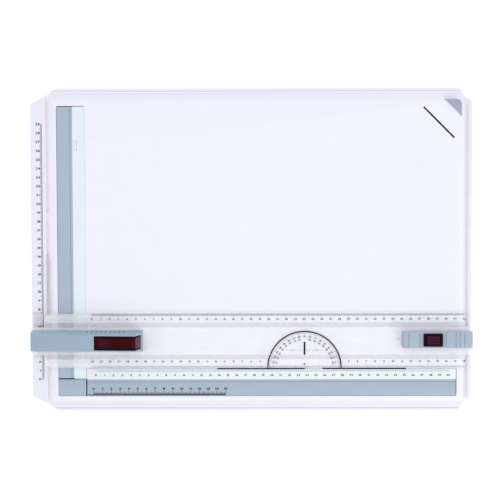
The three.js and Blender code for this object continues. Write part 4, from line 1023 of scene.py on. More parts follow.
@dataclass
class Board:
    """The board's shells, feet, corner block and side scale."""

    shop: Workshop
    palette: Palette
    printer: Printer
    shell_edge: float = 0.45
    part_edge: float = 0.35
    rim_below_deck: float = 3.0 * MM
    rail_above_deck: float = 1.0 * MM
    rim_tolerance: float = 0.2 * MM
    outer_edge: float = 3.5 * MM
    groove_depth: float = 5.5 * MM
    groove_start: float = 0.1 * MM
    end_groove_inset: float = 4.6 * MM
    trim_start: float = 22.5 * MM
    trim_end: float = 12.0 * MM
    trim_half_width: float = 1.3 * MM
    trim_below_rim: float = 0.7 * MM
    trim_height: float = 3.6 * MM
    slit_inset: Spot = (38.5 * MM, 39.3 * MM)
    slit_length: float = 48.6 * MM
    slit_end: float = 8.0 * MM
    # Sizes of the painted shade in the diagonal slit: the black strip down inside it and the borders
    # beside it.
    brush_half_width: float = 0.55 * MM
    brush_bottom: float = -1.4 * MM
    brush_top: float = -0.1 * MM
    border_inner: float = 0.62 * MM
    border_outer: float = 1.0 * MM
    foot_hollow: float = 0.5 * MM
    foot_groove: float = 0.35 * MM
    foot_rounding: float = 0.6 * MM
    foot_sides: int = 48
    scale_zero_from_front: float = 36.4 * MM
    scale_base_from_left: float = 13.4 * MM
    scale_centimetres: int = 29
    scale_line_half: float = 0.1 * MM
    number_height: float = 2.5 * MM
    number_aside: float = 4.6 * MM
    shell_box: tuple[Sequence[float], Sequence[float]] = field(init=False)

    def __post_init__(self) -> None:
        """Read the shell's box once."""
        self.shell_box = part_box("top_shell")

    def deck_height(self) -> float:
        """Return the height of the drawing deck."""
        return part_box("corner_block")[1][2] - self.rail_above_deck

    def build(self) -> None:
        """Make every piece of the board."""
        shop, palette = self.shop, self.palette
        shell = shop.moulded("top_shell", palette.white, self.shell_edge)
        rim = self.deck_height() - self.rim_below_deck
        shop.paint(shell, palette.rim, lambda face: face.center.z < rim + self.rim_tolerance)
        # Painted light: the groove faces take the lighter white, which hides their shade.
        shop.paint(shell, palette.groove, lambda face: self.in_groove(face, rim))
        shop.place(shell, Body.BOARD, Slot.WHITE, ["top_shell"])
        shop.cast("bottom_cover", palette.cover, self.part_edge, Body.BOARD, Slot.WHITE)
        shop.cast("corner_block", palette.grey, self.part_edge, Body.BOARD, Slot.GREY)
        self.feet()
        self.slit()
        self.groove_trims(rim)
        self.side_scale(rim)

    def in_groove(self, face: bpy.types.MeshPolygon, rim: float) -> bool:
        """Say whether a face of the shell lies inside a groove.

        Args:
            face: The face.
            rim: Height of the rim.

        Returns:
            Whether it does.
        """
        low, high = self.shell_box
        edge = self.outer_edge
        inside = all(low[i] + edge < face.center[i] < high[i] - edge for i in (0, 1))
        return inside and rim - self.groove_depth < face.center.z < rim - self.groove_start

    def groove_trims(self, rim: float) -> None:
        """Lay the pale trim strips that fill both end grooves.

        Args:
            rim: Height of the rim.
        """
        low, high = self.shell_box
        top = rim - self.trim_below_rim
        half = self.trim_half_width
        bars = [
            box_mesh((low[0] + self.trim_start, y - half, top - self.trim_height),
                     (high[0] - self.trim_end, y + half, top), self.palette.white)
            for y in (low[1] + self.end_groove_inset, high[1] - self.end_groove_inset)
        ]
        self.shop.place(self.shop.joined(bars, "end_groove_trims"), Body.BOARD)

    def slit(self) -> None:
        """Lay painted shade in the diagonal slit: a black strip inside it, and borders on the deck beside
        it that are black with brown ends.
        """
        _, high = self.shell_box
        centre = Vector((high[0] - self.slit_inset[0], high[1] - self.slit_inset[1], self.deck_height()))
        half = self.slit_length / 2
        end = half - self.slit_end
        ink, brown = self.palette.ink, self.palette.brown_ink
        # Painted shade: a black strip down in the slit and dark borders beside it, where the slit is
        # shaded.
        bars = [box_mesh((-half, -self.brush_half_width, self.brush_bottom),
                         (half, self.brush_half_width, self.brush_top), ink)]
        for side in (-1, 1):
            inner, outer = sorted((side * self.border_inner, side * self.border_outer))
            for start, stop, dye in ((-end, end, ink), (-half, -end, brown), (end, half, brown)):
                bars.append(self.printer.bar((start, inner), (stop, outer), dye))
        for bar in bars:
            bar.transform(Matrix.Translation(centre) @ Matrix.Rotation(-math.pi / 4, 4, "Z"))
        self.shop.place(self.shop.joined(bars, "slit_brush_strip"), Body.BOARD)

    def foot_profile(self, radius: float, top: float) -> list[Spot]:
        """Draw a foot's outline, with a hollow and a ring moulded in its face.

        Args:
            radius: The foot's radius.
            top: Its height.

        Returns:
            Radius and height of each point, from the face up.
        """
        hollow, groove, rounding = self.foot_hollow, self.foot_groove, self.foot_rounding
        return [
            (0.0, hollow), (radius * 0.28, hollow), (radius * 0.34, 0.0),
            (radius * 0.62, 0.0), (radius * 0.66, groove), (radius * 0.74, groove),
            (radius * 0.78, 0.0), (radius - rounding, 0.0), (radius, rounding),
            (radius, top - rounding / 2), (radius - rounding / 2, top), (0.0, top),
        ]

    def feet(self) -> None:
        """Make the four rubber feet."""
        for number in range(1, 5):
            node = f"foot_{number}"
            low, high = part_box(node)
            profile = self.foot_profile((high[0] - low[0]) / 2, high[2] - low[2])
            mesh = lathe_mesh(profile, self.foot_sides, self.palette.rubber)
            x, y, _ = middle_of(low, high)
            mesh.transform(Matrix.Translation((x, y, low[2])))
            piece = self.shop.object_from(mesh, f"{node}_rubber")
            self.shop.smooth(piece, self.shop.turned_deg)
            self.shop.place(piece, Body.BOARD, Slot.RUBBER, [node])

    def side_scale(self, rim: float) -> None:
        """Print the centimetre scale on the left rim.

        Args:
            rim: Height of the rim.
        """
        low, _ = self.shell_box
        zero = low[1] + self.scale_zero_from_front
        base = low[0] + self.scale_base_from_left
        scale = Scale((base, zero), math.pi / 2, self.scale_centimetres * 10 + 1,
                      short=2.1 * MM, five=2.8 * MM, ten=3.4 * MM, width=0.42 * MM)
        labels = scale.labels(range(self.scale_centimetres + 1), self.number_aside)
        half = self.scale_line_half
        ink = self.palette.soft_ink
        self.printer.apply("side_scale_print", [
            self.printer.ticks(scale, ink),
            self.printer.numerals.mesh(labels, self.number_height, self.palette.ink, bold=1.3),
            self.printer.bar((base - half, zero), (base + half, zero + scale.length()), ink),
        ], lambda x, y: rim, Body.BOARD)


@dataclass
class Fasteners:
    """Every screw, made once and stood at its place by Geometry Nodes."""

    shop: Workshop
    palette: Palette
    tree: bpy.types.NodeTree
    cover_screws: int = 8
    shank: float = 1.1 * MM
    thread_pitch: float = 0.9 * MM
    thread_start: float = 2.0 * MM
    slot_depth: float = 0.55 * MM
    head_height: float = 1.4 * MM
    tip_length: float = 0.6 * MM
    sides: int = 24

    def screw_mesh(self, node: str) -> bpy.types.Mesh:
        """Make one screw the size of a node, head down, at the origin.

        Args:
            node: A screw's node.

        Returns:
            The screw's mesh.
        """
        low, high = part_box(node)
        radius = (high[0] - low[0]) / 2
        length = high[2] - low[2]
        shank, head = self.shank, self.head_height
        profile = [(0.0, self.slot_depth), (0.5 * MM, self.slot_depth), (0.9 * MM, 0.05 * MM),
                   (radius - 0.5 * MM, 0.0), (radius, 0.45 * MM), (radius, head - 0.2 * MM),
                   (radius - 0.2 * MM, head), (shank, head)]
        for turn in range(int(length / self.thread_pitch) - 2):
            start = self.thread_start + turn * self.thread_pitch
            profile += [(shank * 0.8, start), (shank, start + 0.35 * MM), (shank * 0.8, start + 0.7 * MM)]
        profile += [(shank * 0.75, length - self.tip_length), (0.0, length)]
        return lathe_mesh(profile, self.sides, self.palette.steel)

    def stand(self, nodes: Sequence[str], name: str, body: Body) -> None:
        """Stand one screw shape at each node's place.

        Args:
            nodes: The screws' nodes, all of one size.
            name: The piece's name.
            body: The body that holds them.
        """
        shape = self.shop.object_from(self.screw_mesh(nodes[0]), "screw_shape")
        points = []
        for node in nodes:
            low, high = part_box(node)
            x, y, _ = middle_of(low, high)
            points.append((x, y, low[2]))
        piece = self.shop.copies(shape, points, name, self.tree, self.palette.steel)
        self.shop.place(piece, body, Slot.STEEL, nodes)

    def build(self) -> None:
        """Make the cover screws and the head screws."""
        self.stand([f"cover_screw_{n}" for n in range(1, self.cover_screws + 1)],
                   "cover_screws", Body.BOARD)
        for side in ("left", "right"):
            for number in (1, 2):
                node = f"{side}_head_screw_{number}"
                self.stand([node], f"{node}_turned", Body.RULER)


@dataclass
class Clamps:
    """Both paper clamps, with the scales on the lower one."""

    shop: Workshop
    palette: Palette
    printer: Printer
    edge: float = 0.3
    pin_edge: float = 0.2
    spring_edge: float = 0.05
    # Painted shade round the rails and the corner block: sizes of the black bars in the gaps and of the
    # thin dark lines on the deck.
    seam: float = 0.2 * MM
    seam_floor: float = 0.1 * MM
    seam_below_deck: float = 0.15 * MM
    block_above_deck: float = 1.0 * MM
    line_start: float = 0.55 * MM
    line_end: float = 1.1 * MM
    line_front_inset: float = 2.0 * MM
    lip_zero_from_left: float = 9.9 * MM
    lip_centimetres: int = 40
    lip_scale_inset: float = 1.3 * MM
    lip_number_height: float = 2.1 * MM
    lip_number_aside: float = -5.7 * MM
    # Painted shade along the lower lip's far edge: dark bars hugging the edge in two stretches.
    lip_line_inset: float = 0.5 * MM
    lip_line_reach: float = 0.75 * MM
    lip_lines: tuple[Spot, Spot] = ((138.0 * MM, 237.0 * MM), (257.5 * MM, 352.0 * MM))
    rail_zero_from_left: float = 7.3 * MM
    rail_centimetres: int = 15
    rail_scale_inset: float = 0.9 * MM
    rail_number_height: float = 2.7 * MM
    rail_number_aside: float = 7.2 * MM
    rail_line_start: float = 1.0 * MM
    rail_line_below: float = 0.3 * MM
    rail_line_above: float = 0.55 * MM

    def build(self) -> None:
        """Make the rails, the lips and their prints."""
        shop, palette = self.shop, self.palette
        for side, body, lip in (("side", Body.SIDE_CLAMP, palette.lip),
                                ("bottom", Body.BOTTOM_CLAMP, palette.lip_print)):
            shop.cast(f"{side}_clamp_rail", palette.grey, self.edge, body, Slot.GREY)
            plate = shop.moulded(f"{side}_clamp_lip", lip, self.edge / 2)
            self.seat_lip(plate, f"{side}_clamp_rail")
            shop.place(plate, body, Slot.CLEAR, [f"{side}_clamp_lip"])
            for number in (1, 2):
                pin = f"{side}_clamp_pin_{number}"
                shop.cast(pin, palette.steel, self.pin_edge, Body.BOARD, Slot.STEEL)
            spring = f"{side}_clamp_spring"
            shop.cast(spring, palette.steel, self.spring_edge, Body.BOARD, Slot.STEEL)
        self.seams()
        self.lip_scale()
        self.rail_scale()

    def seat_lip(self, plate: bpy.types.Object, rail: str) -> None:
        """Give the strip of a lip that is bonded to its rail the rail's colour.

        Args:
            plate: The lip.
            rail: Its rail's node.
        """
        _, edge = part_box(rail)
        axis = 1 if rail.startswith("bottom") else 0
        work = bmesh.new()
        work.from_mesh(plate.data)
        cut_across(work, Vector(edge), axis)
        work.to_mesh(plate.data)
        work.free()
        self.shop.paint(plate, self.palette.grey, lambda face: face.center[axis] < edge[axis])

    def seams(self) -> None:
        """Lay painted shade round the rails and the corner block: black bars in the gaps, and thin dark
        lines on the deck beyond the rails' ends.
        """
        side_low, side_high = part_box("side_clamp_rail")
        front_low, front_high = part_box("bottom_clamp_rail")
        block_low, block_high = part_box("corner_block")
        lip_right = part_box("side_clamp_lip")[1][0]
        lip_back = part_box("bottom_clamp_lip")[1][1]
        deck = block_high[2] - self.block_above_deck
        gap = self.seam
        # Painted shade: black bars down in the gaps, where the gaps are shaded.
        bars = [
            box_mesh((*low, block_low[2] + self.seam_floor), (*high, deck - self.seam_below_deck),
                     self.palette.black)
            for low, high in (
                ((block_low[0], block_high[1] + gap), (side_high[0], side_low[1] - gap)),
                ((block_high[0] + gap, block_low[1]), (front_low[0] - gap, block_high[1])),
                ((side_low[0], side_high[1] + gap / 2), (side_high[0], side_high[1] + 2 * gap)),
                ((front_high[0] + gap / 2, front_low[1]), (front_high[0] + 2 * gap, front_high[1])),
            )
        ]
        # Painted shade: thin dark lines on the deck just beyond the rails' ends.
        start, end = self.line_start, self.line_end
        for low, high in (
            ((side_low[0], side_high[1] + start), (lip_right, side_high[1] + end)),
            ((front_high[0] + start, front_low[1] + self.line_front_inset),
             (front_high[0] + end, lip_back)),
        ):
            bars.append(box_mesh((*low, deck), (*high, deck + self.printer.ink_depth),
                                 self.palette.soft_ink))
        self.shop.place(self.shop.joined(bars, "clamp_seals"), Body.BOARD)

    def lip_scale(self) -> None:
        """Print the long scale along the far edge of the lower lip, with two dark bars of painted shade
        hugging that edge.
        """
        low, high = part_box("bottom_clamp_lip")
        zero = low[0] + self.lip_zero_from_left
        scale = Scale((zero, high[1] - self.lip_scale_inset), 0.0, self.lip_centimetres * 10 + 1,
                      short=1.6 * MM, five=2.2 * MM, ten=2.8 * MM, width=0.2 * MM, flip=True)
        labels = scale.labels(range(self.lip_centimetres + 1), self.lip_number_aside)
        ink = self.palette.ink
        # Painted shade: dark bars hugging the lip's far edge, where the gap under the ruler is shaded.
        dark = [box_mesh((zero + start, high[1] - self.lip_line_inset, low[2] - high[2]),
                         (zero + end, high[1] + self.lip_line_reach, self.printer.ink_depth), ink)
                for start, end in self.lip_lines]
        self.printer.apply("bottom_lip_print", [
            self.printer.ticks(scale, self.palette.soft_ink),
            self.printer.numerals.mesh(labels, self.lip_number_height, ink, bold=1.25), *dark,
        ], lambda x, y: high[2], Body.BOTTOM_CLAMP)

    def rail_scale(self) -> None:
        """Print the short scale along the near edge of the lower rail."""
        low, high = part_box("bottom_clamp_rail")
        zero = low[0] + self.rail_zero_from_left
        near = low[1] + self.rail_scale_inset
        scale = Scale((zero, near), 0.0, self.rail_centimetres * 10 + 1,
                      short=2.6 * MM, five=3.8 * MM, ten=4.6 * MM, width=0.52 * MM)
        labels = scale.labels(range(self.rail_centimetres + 1), self.rail_number_aside)
        ink = self.palette.ink
        line = self.printer.bar((low[0] + self.rail_line_start, near - self.rail_line_below),
                                (zero + scale.length(), near + self.rail_line_above), ink)
        self.printer.apply("bottom_rail_print", [
            self.printer.ticks(scale, ink),
            self.printer.numerals.mesh(labels, self.rail_number_height, ink, bold=1.35), line,
        ], lambda x, y: high[2], Body.BOTTOM_CLAMP)


@dataclass
class Legs:
    """The fold-out legs with their pins and rubber tips."""

    shop: Workshop
    palette: Palette
    leg_edge: float = 0.6
    tip_edge: float = 0.7
    pin_edge: float = 0.25

    def build(self) -> None:
        """Make both legs."""
        cast, palette = self.shop.cast, self.palette
        for side, body in (("left", Body.LEFT_LEG), ("right", Body.RIGHT_LEG)):
            cast(f"leg_{side}", palette.cover, self.leg_edge, body, Slot.WHITE)
            cast(f"leg_tip_{side}", palette.rubber, self.tip_edge, body, Slot.RUBBER)
            cast(f"leg_pin_{side}", palette.steel, self.pin_edge, Body.BOARD, Slot.STEEL)


@dataclass
class CornerClip:
    """The parked corner clip, with ribs along its slanted side."""

    shop: Workshop
    palette: Palette
    edge: float = 0.35
    ribs: int = 5
    first_rib: float = 2.2 * MM
    rib_pitch: float = 2.0 * MM
    rib_width: float = 0.8 * MM
    rib_margin: float = 2.4 * MM
    rib_sink: float = 0.3 * MM
    rib_rise: float = 0.45 * MM
    rib_rounding: float = 0.25 * MM

    def build(self) -> None:
        """Make the clip and its ribs."""
        clip = self.palette.clip
        self.shop.cast("corner_clip", clip, self.edge, Body.CLIP, Slot.GREY)
        low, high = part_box("corner_clip")
        x, y, _ = middle_of(low, high)
        meshes = []
        for rib in range(self.ribs):
            setback = self.first_rib + rib * self.rib_pitch
            half = ((high[0] - low[0]) * math.sqrt(2) - self.rib_margin) / 2 - setback
            bar = box_mesh((-half, -self.rib_width / 2, -self.rib_sink),
                           (half, self.rib_width / 2, self.rib_rise), clip)
            inward = Vector((1, 1, 0)).normalized() * setback
            bar.transform(Matrix.Translation(Vector((x, y, high[2])) + inward)
                          @ Matrix.Rotation(-math.pi / 4, 4, "Z"))
            meshes.append(bar)
        ribs = self.shop.rounded(self.shop.joined(meshes, "corner_clip_ribs"), self.rib_rounding, 2)
        self.shop.smooth(ribs, self.shop.turned_deg)
        self.shop.place(ribs, Body.CLIP, Slot.GREY)


@dataclass
class Ruler:
    """The sliding ruler: blade, guides, heads, springs and the scales on them."""

    shop: Workshop
    palette: Palette
    printer: Printer
    blade_edge: float = 0.2
    guide_edge: float = 0.25
    band_half: float = 15.6 * MM
    band_slope: float = 5.2 * MM
    band_rise: float = 2.0 * MM
    edge_bevel: float = 0.8 * MM
    upper_zero_x: float = -180.3 * MM
    upper_centimetres: int = 42
    upper_inset: float = 0.2 * MM
    upper_number_aside: float = -5.8 * MM
    lower_zero_x: float = 60.0 * MM
    lower_left: int = 24
    lower_right: int = 18
    lower_inset: float = 0.4 * MM
    lower_number_aside: float = 7.1 * MM
    lower_first_number: int = 5
    number_height: float = 2.0 * MM
    left_spring_keep: float = 0.8
    right_spring_keep: float = 0.28
    spring_wire: float = 0.33 * MM
    spring_pitch: float = 1.35 * MM
    spring_steps: int = 24
    rail_above_cursor: float = 2.2 * MM
    cursor_left: float = 0.4 * MM
    cursor_right: float = 11.6 * MM
    hairline_y: float = 31.0 * MM
    hairline_width: float = 0.35 * MM
    index_marks: Spot = (16.2 * MM, -12.8 * MM)
    index_length: float = 5.0 * MM
    index_width: float = 0.8 * MM
    blade_low: Point = field(init=False)
    blade_high: Point = field(init=False)

    def __post_init__(self) -> None:
        """Read the blade's box once."""
        low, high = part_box("ruler_blade")
        self.blade_low = tuple(low)
        self.blade_high = tuple(high)

    def centre_y(self) -> float:
        """Return the middle of the blade across its width."""
        return (self.blade_low[1] + self.blade_high[1]) / 2

    def blade_surface(self, x: float, y: float) -> float:
        """Return the height of the blade's top at a place.

        Args:
            x: Place along the blade.
            y: Place across the blade.

        Returns:
            The height of its surface.
        """
        half = (self.blade_high[1] - self.blade_low[1]) / 2
        away = abs(y - self.centre_y())
        band = self.blade_high[2]
        if away <= self.band_half:
            return band
        if away <= self.band_half + self.band_slope:
            return band - self.band_rise * (away - self.band_half) / self.band_slope
        bevel = max(0.0, away - (half - 3 * self.edge_bevel))
        return band - self.band_rise - bevel / 3

    def build(self) -> None:
        """Make the blade, its guides, heads, springs, scales and protractor."""
        shop, palette = self.shop, self.palette
        blade = shop.moulded("ruler_blade", palette.blade, self.blade_edge, bevel_from_deg=40.0)
        # Painted shade: the blade's sloping faces take the darker acrylic.
        shop.paint(blade, palette.blade_slope, lambda face: 0.5 < abs(face.normal.z) < 0.975)
        blade.visible_shadow = False
        shop.place(blade, Body.RULER, Slot.CLEAR, ["ruler_blade"])
        for node in ("guide_rail", "right_runner"):
            piece = shop.moulded(node, palette.guide, self.guide_edge)
            piece.visible_shadow = False
            shop.place(piece, Body.RULER, Slot.CLEAR, [node])
        for node, material, edge, slot in (
            ("left_head", palette.head, 0.7, Slot.GREY),
            ("right_head", palette.grey, 0.7, Slot.GREY),
            ("left_bezel", palette.black, 0.3, Slot.BLACK),
            ("left_button_pin", palette.steel, 0.2, Slot.STEEL),
        ):
            shop.cast(node, material, edge, Body.RULER, slot)
        for side, keep in (("left", self.left_spring_keep), ("right", self.right_spring_keep)):
            node = f"{side}_button_spring"
            foot = tuple(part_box(node)[0])
            spring = self.coil(node)
            shop.place(spring, Body.RULER, Slot.STEEL, [node])
            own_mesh(spring)
        self.scales()
        Protractor(self).build()
        self.cursor_marks()

    def coil(self, node: str) -> bpy.types.Object:
        """Make a round-wire coil spring in a node's box.

        Args:
            node: The spring's node.

        Returns:
            The spring.
        """
        low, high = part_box(node)
        x, y, _ = middle_of(low, high)
        wire = self.spring_wire
        radius = (high[0] - low[0]) / 2 - wire
        height = high[2] - low[2] - 2 * wire
        turns = max(2, round(height / self.spring_pitch))
        steps = self.spring_steps * turns
        curve = bpy.data.curves.new("coil", "CURVE")
        curve.dimensions = "3D"
        curve.bevel_depth = wire
        curve.bevel_resolution = 2
        curve.use_fill_caps = True
        spline = curve.splines.new("POLY")
        spline.points.add(steps)
        for step, point in enumerate(spline.points):
            angle = 2 * math.pi * turns * step / steps
            point.co = (x + radius * math.cos(angle), y + radius * math.sin(angle),
                        low[2] + wire + height * step / steps, 1.0)
        holder = linked(curve, "coil")
        mesh = plain_mesh(holder)
        bpy.data.objects.remove(holder)
        mesh.materials.clear()
        mesh.materials.append(self.palette.steel)
        piece = self.shop.object_from(mesh, f"{node}_coil")
        self.shop.smooth(piece, 60.0)
        return piece

    def scales(self) -> None:
        """Print both long scales of the blade."""
        far = self.blade_high[1] - self.upper_inset
        near = self.blade_low[1] + self.lower_inset
        lengths = {"short": 1.9 * MM, "five": 2.6 * MM, "ten": 3.3 * MM}
        upper = Scale((self.upper_zero_x, far), 0.0, self.upper_centimetres * 10 + 1,
                      width=0.36 * MM, flip=True, **lengths)
        right = Scale((self.lower_zero_x, near), 0.0, self.lower_right * 10 + 1, **lengths)
        left = Scale((self.lower_zero_x - self.lower_left * 10 * MM, near), 0.0,
                     self.lower_left * 10, **lengths)
        first = self.lower_first_number
        labels = [
            *upper.labels(range(self.upper_centimetres + 1), self.upper_number_aside),
            *right.labels(range(first, self.lower_right + 1), self.lower_number_aside),
            *left.labels(range(self.lower_left - first + 1), self.lower_number_aside,
                         from_end=self.lower_left),
        ]
        ink = self.palette.soft_ink
        self.printer.apply("ruler_scale_print", [
            *(self.printer.ticks(scale, ink) for scale in (upper, right, left)),
            self.printer.numerals.mesh(labels, self.number_height, ink, bold=1.2),
        ], self.blade_surface, Body.RULER)

    def cursor_marks(self) -> None:
        """Print the hairline and the two index marks of the reading cursor."""
        low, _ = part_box("guide_rail")
        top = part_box("corner_block")[1][2] - self.rail_above_cursor
        middle = self.centre_y()
        left, right = low[0] + self.cursor_left, low[0] + self.cursor_right
        hairline = middle + self.hairline_y
        marks = [self.printer.bar((left, hairline), (right, hairline + self.hairline_width),
                                  self.palette.magenta_ink)]
        for offset in self.index_marks:
            mark = middle + offset
            marks.append(self.printer.bar((right - self.index_length, mark),
                                          (right, mark + self.index_width), self.palette.ink))
        self.printer.apply("cursor_print", marks, lambda x, y: top, Body.RULER)


@dataclass
class Protractor:
    """The half-round protractor printed round the zero of the blade's lower scale."""

    ruler: Ruler
    radius: float = 42.2 * MM
    ring_width: float = 1.6 * MM
    base_inset: float = 0.3 * MM
    ten_degrees: float = 3.4 * MM
    two_degrees: float = 1.9 * MM
    tick_half: float = 0.1 * MM
    outer_row: float = 6.6 * MM
    inner_row: float = 9.8 * MM
    number_height: float = 1.9 * MM
    bar_half: float = 1.0 * MM
    bar_ends: Spot = (-15.4 * MM, -0.8 * MM)
    level_below: float = 10.3 * MM
    level_lines: tuple[Spot, ...] = ((-20.0, -9.0), (-6.0, -2.0), (2.0, 6.0), (9.0, 20.0))
    cross_at: Spot = (-13.5 * MM, 13.5 * MM)
    cross_half: float = 0.12 * MM
    cross_reach: float = 1.4 * MM
    pointer_below: float = 25.6 * MM
    pointer_outline: tuple[Spot, ...] = ((-1.3, 0.0), (1.3, 0.0), (0.0, -2.1))

    def build(self) -> None:
        """Print the protractor on the blade."""
        ruler = self.ruler
        soft, ink = ruler.palette.soft_ink, ruler.palette.ink
        bar = ruler.printer.bar
        x = ruler.lower_zero_x
        middle = ruler.centre_y()
        centre = Vector((x, ruler.blade_low[1] + self.base_inset, 0.0))
        meshes = self.dial(centre, soft)
        start, end = self.bar_ends
        meshes.append(bar((x - self.bar_half, middle + start), (x + self.bar_half, middle + end), ink))
        level = middle - self.level_below
        for start, end in self.level_lines:
            meshes.append(bar((x + start * MM, level - self.tick_half),
                              (x + end * MM, level + self.tick_half), soft))
        for cross in self.cross_at:
            meshes.append(bar((x + cross - self.cross_half, level - self.cross_reach),
                              (x + cross + self.cross_half, level + self.cross_reach), soft))
        meshes.append(self.pointer(Vector((x, middle - self.pointer_below, 0.0)), ink))
        ruler.printer.apply("protractor_print", meshes, ruler.blade_surface, Body.RULER)

    def dial(self, centre: Vector, ink: bpy.types.Material) -> list[bpy.types.Mesh]:
        """Make the ring, its ticks and both rows of degrees.

        Args:
            centre: The protractor's centre.
            ink: The ink.

        Returns:
            The prints, lying at height 0.
        """
        printer = self.ruler.printer
        inner = self.radius - self.ring_width
        meshes = [ring_mesh(centre, inner, self.radius, printer.ink_depth, ink)]
        for degree in range(0, 181, 2):
            length = self.two_degrees if degree % 10 else self.ten_degrees
            tick = printer.bar((inner - length, -self.tick_half), (inner, self.tick_half), ink, splits=3)
            tick.transform(Matrix.Translation(centre) @ Matrix.Rotation(math.radians(degree), 4, "Z"))
            meshes.append(tick)
        labels = []
        for degree in range(10, 180, 10):
            angle = math.radians(degree)
            outward = Vector((math.cos(angle), math.sin(angle), 0.0))
            rows = ((self.outer_row, degree), (self.inner_row, 180 - degree))
            for depth, value in rows if degree != 90 else rows[:1]:
                spot = centre + outward * (self.radius - depth)
                labels.append((str(value), spot.x, spot.y, angle - math.pi / 2))
        meshes.append(printer.numerals.mesh(labels, self.number_height, ink, bold=0.85))
        return meshes

    def pointer(self, tip: Vector, ink: bpy.types.Material) -> bpy.types.Mesh:
        """Make the small triangle that points at the scale's zero.

        Args:
            tip: The middle of its upper side.
            ink: Its finish.

        Returns:
            The triangle's mesh.
        """
        work = bmesh.new()
        face = work.faces.new([
            work.verts.new(tip + Vector((x * MM, y * MM, 0.0))) for x, y in self.pointer_outline])
        raised = bmesh.ops.extrude_face_region(work, geom=[face])
        lifted = [item for item in raised["geom"] if isinstance(item, bmesh.types.BMVert)]
        bmesh.ops.translate(work, vec=(0.0, 0.0, self.ruler.printer.ink_depth), verts=lifted)
        bmesh.ops.recalc_face_normals(work, faces=work.faces)
        return finished_mesh(work, "pointer", ink)


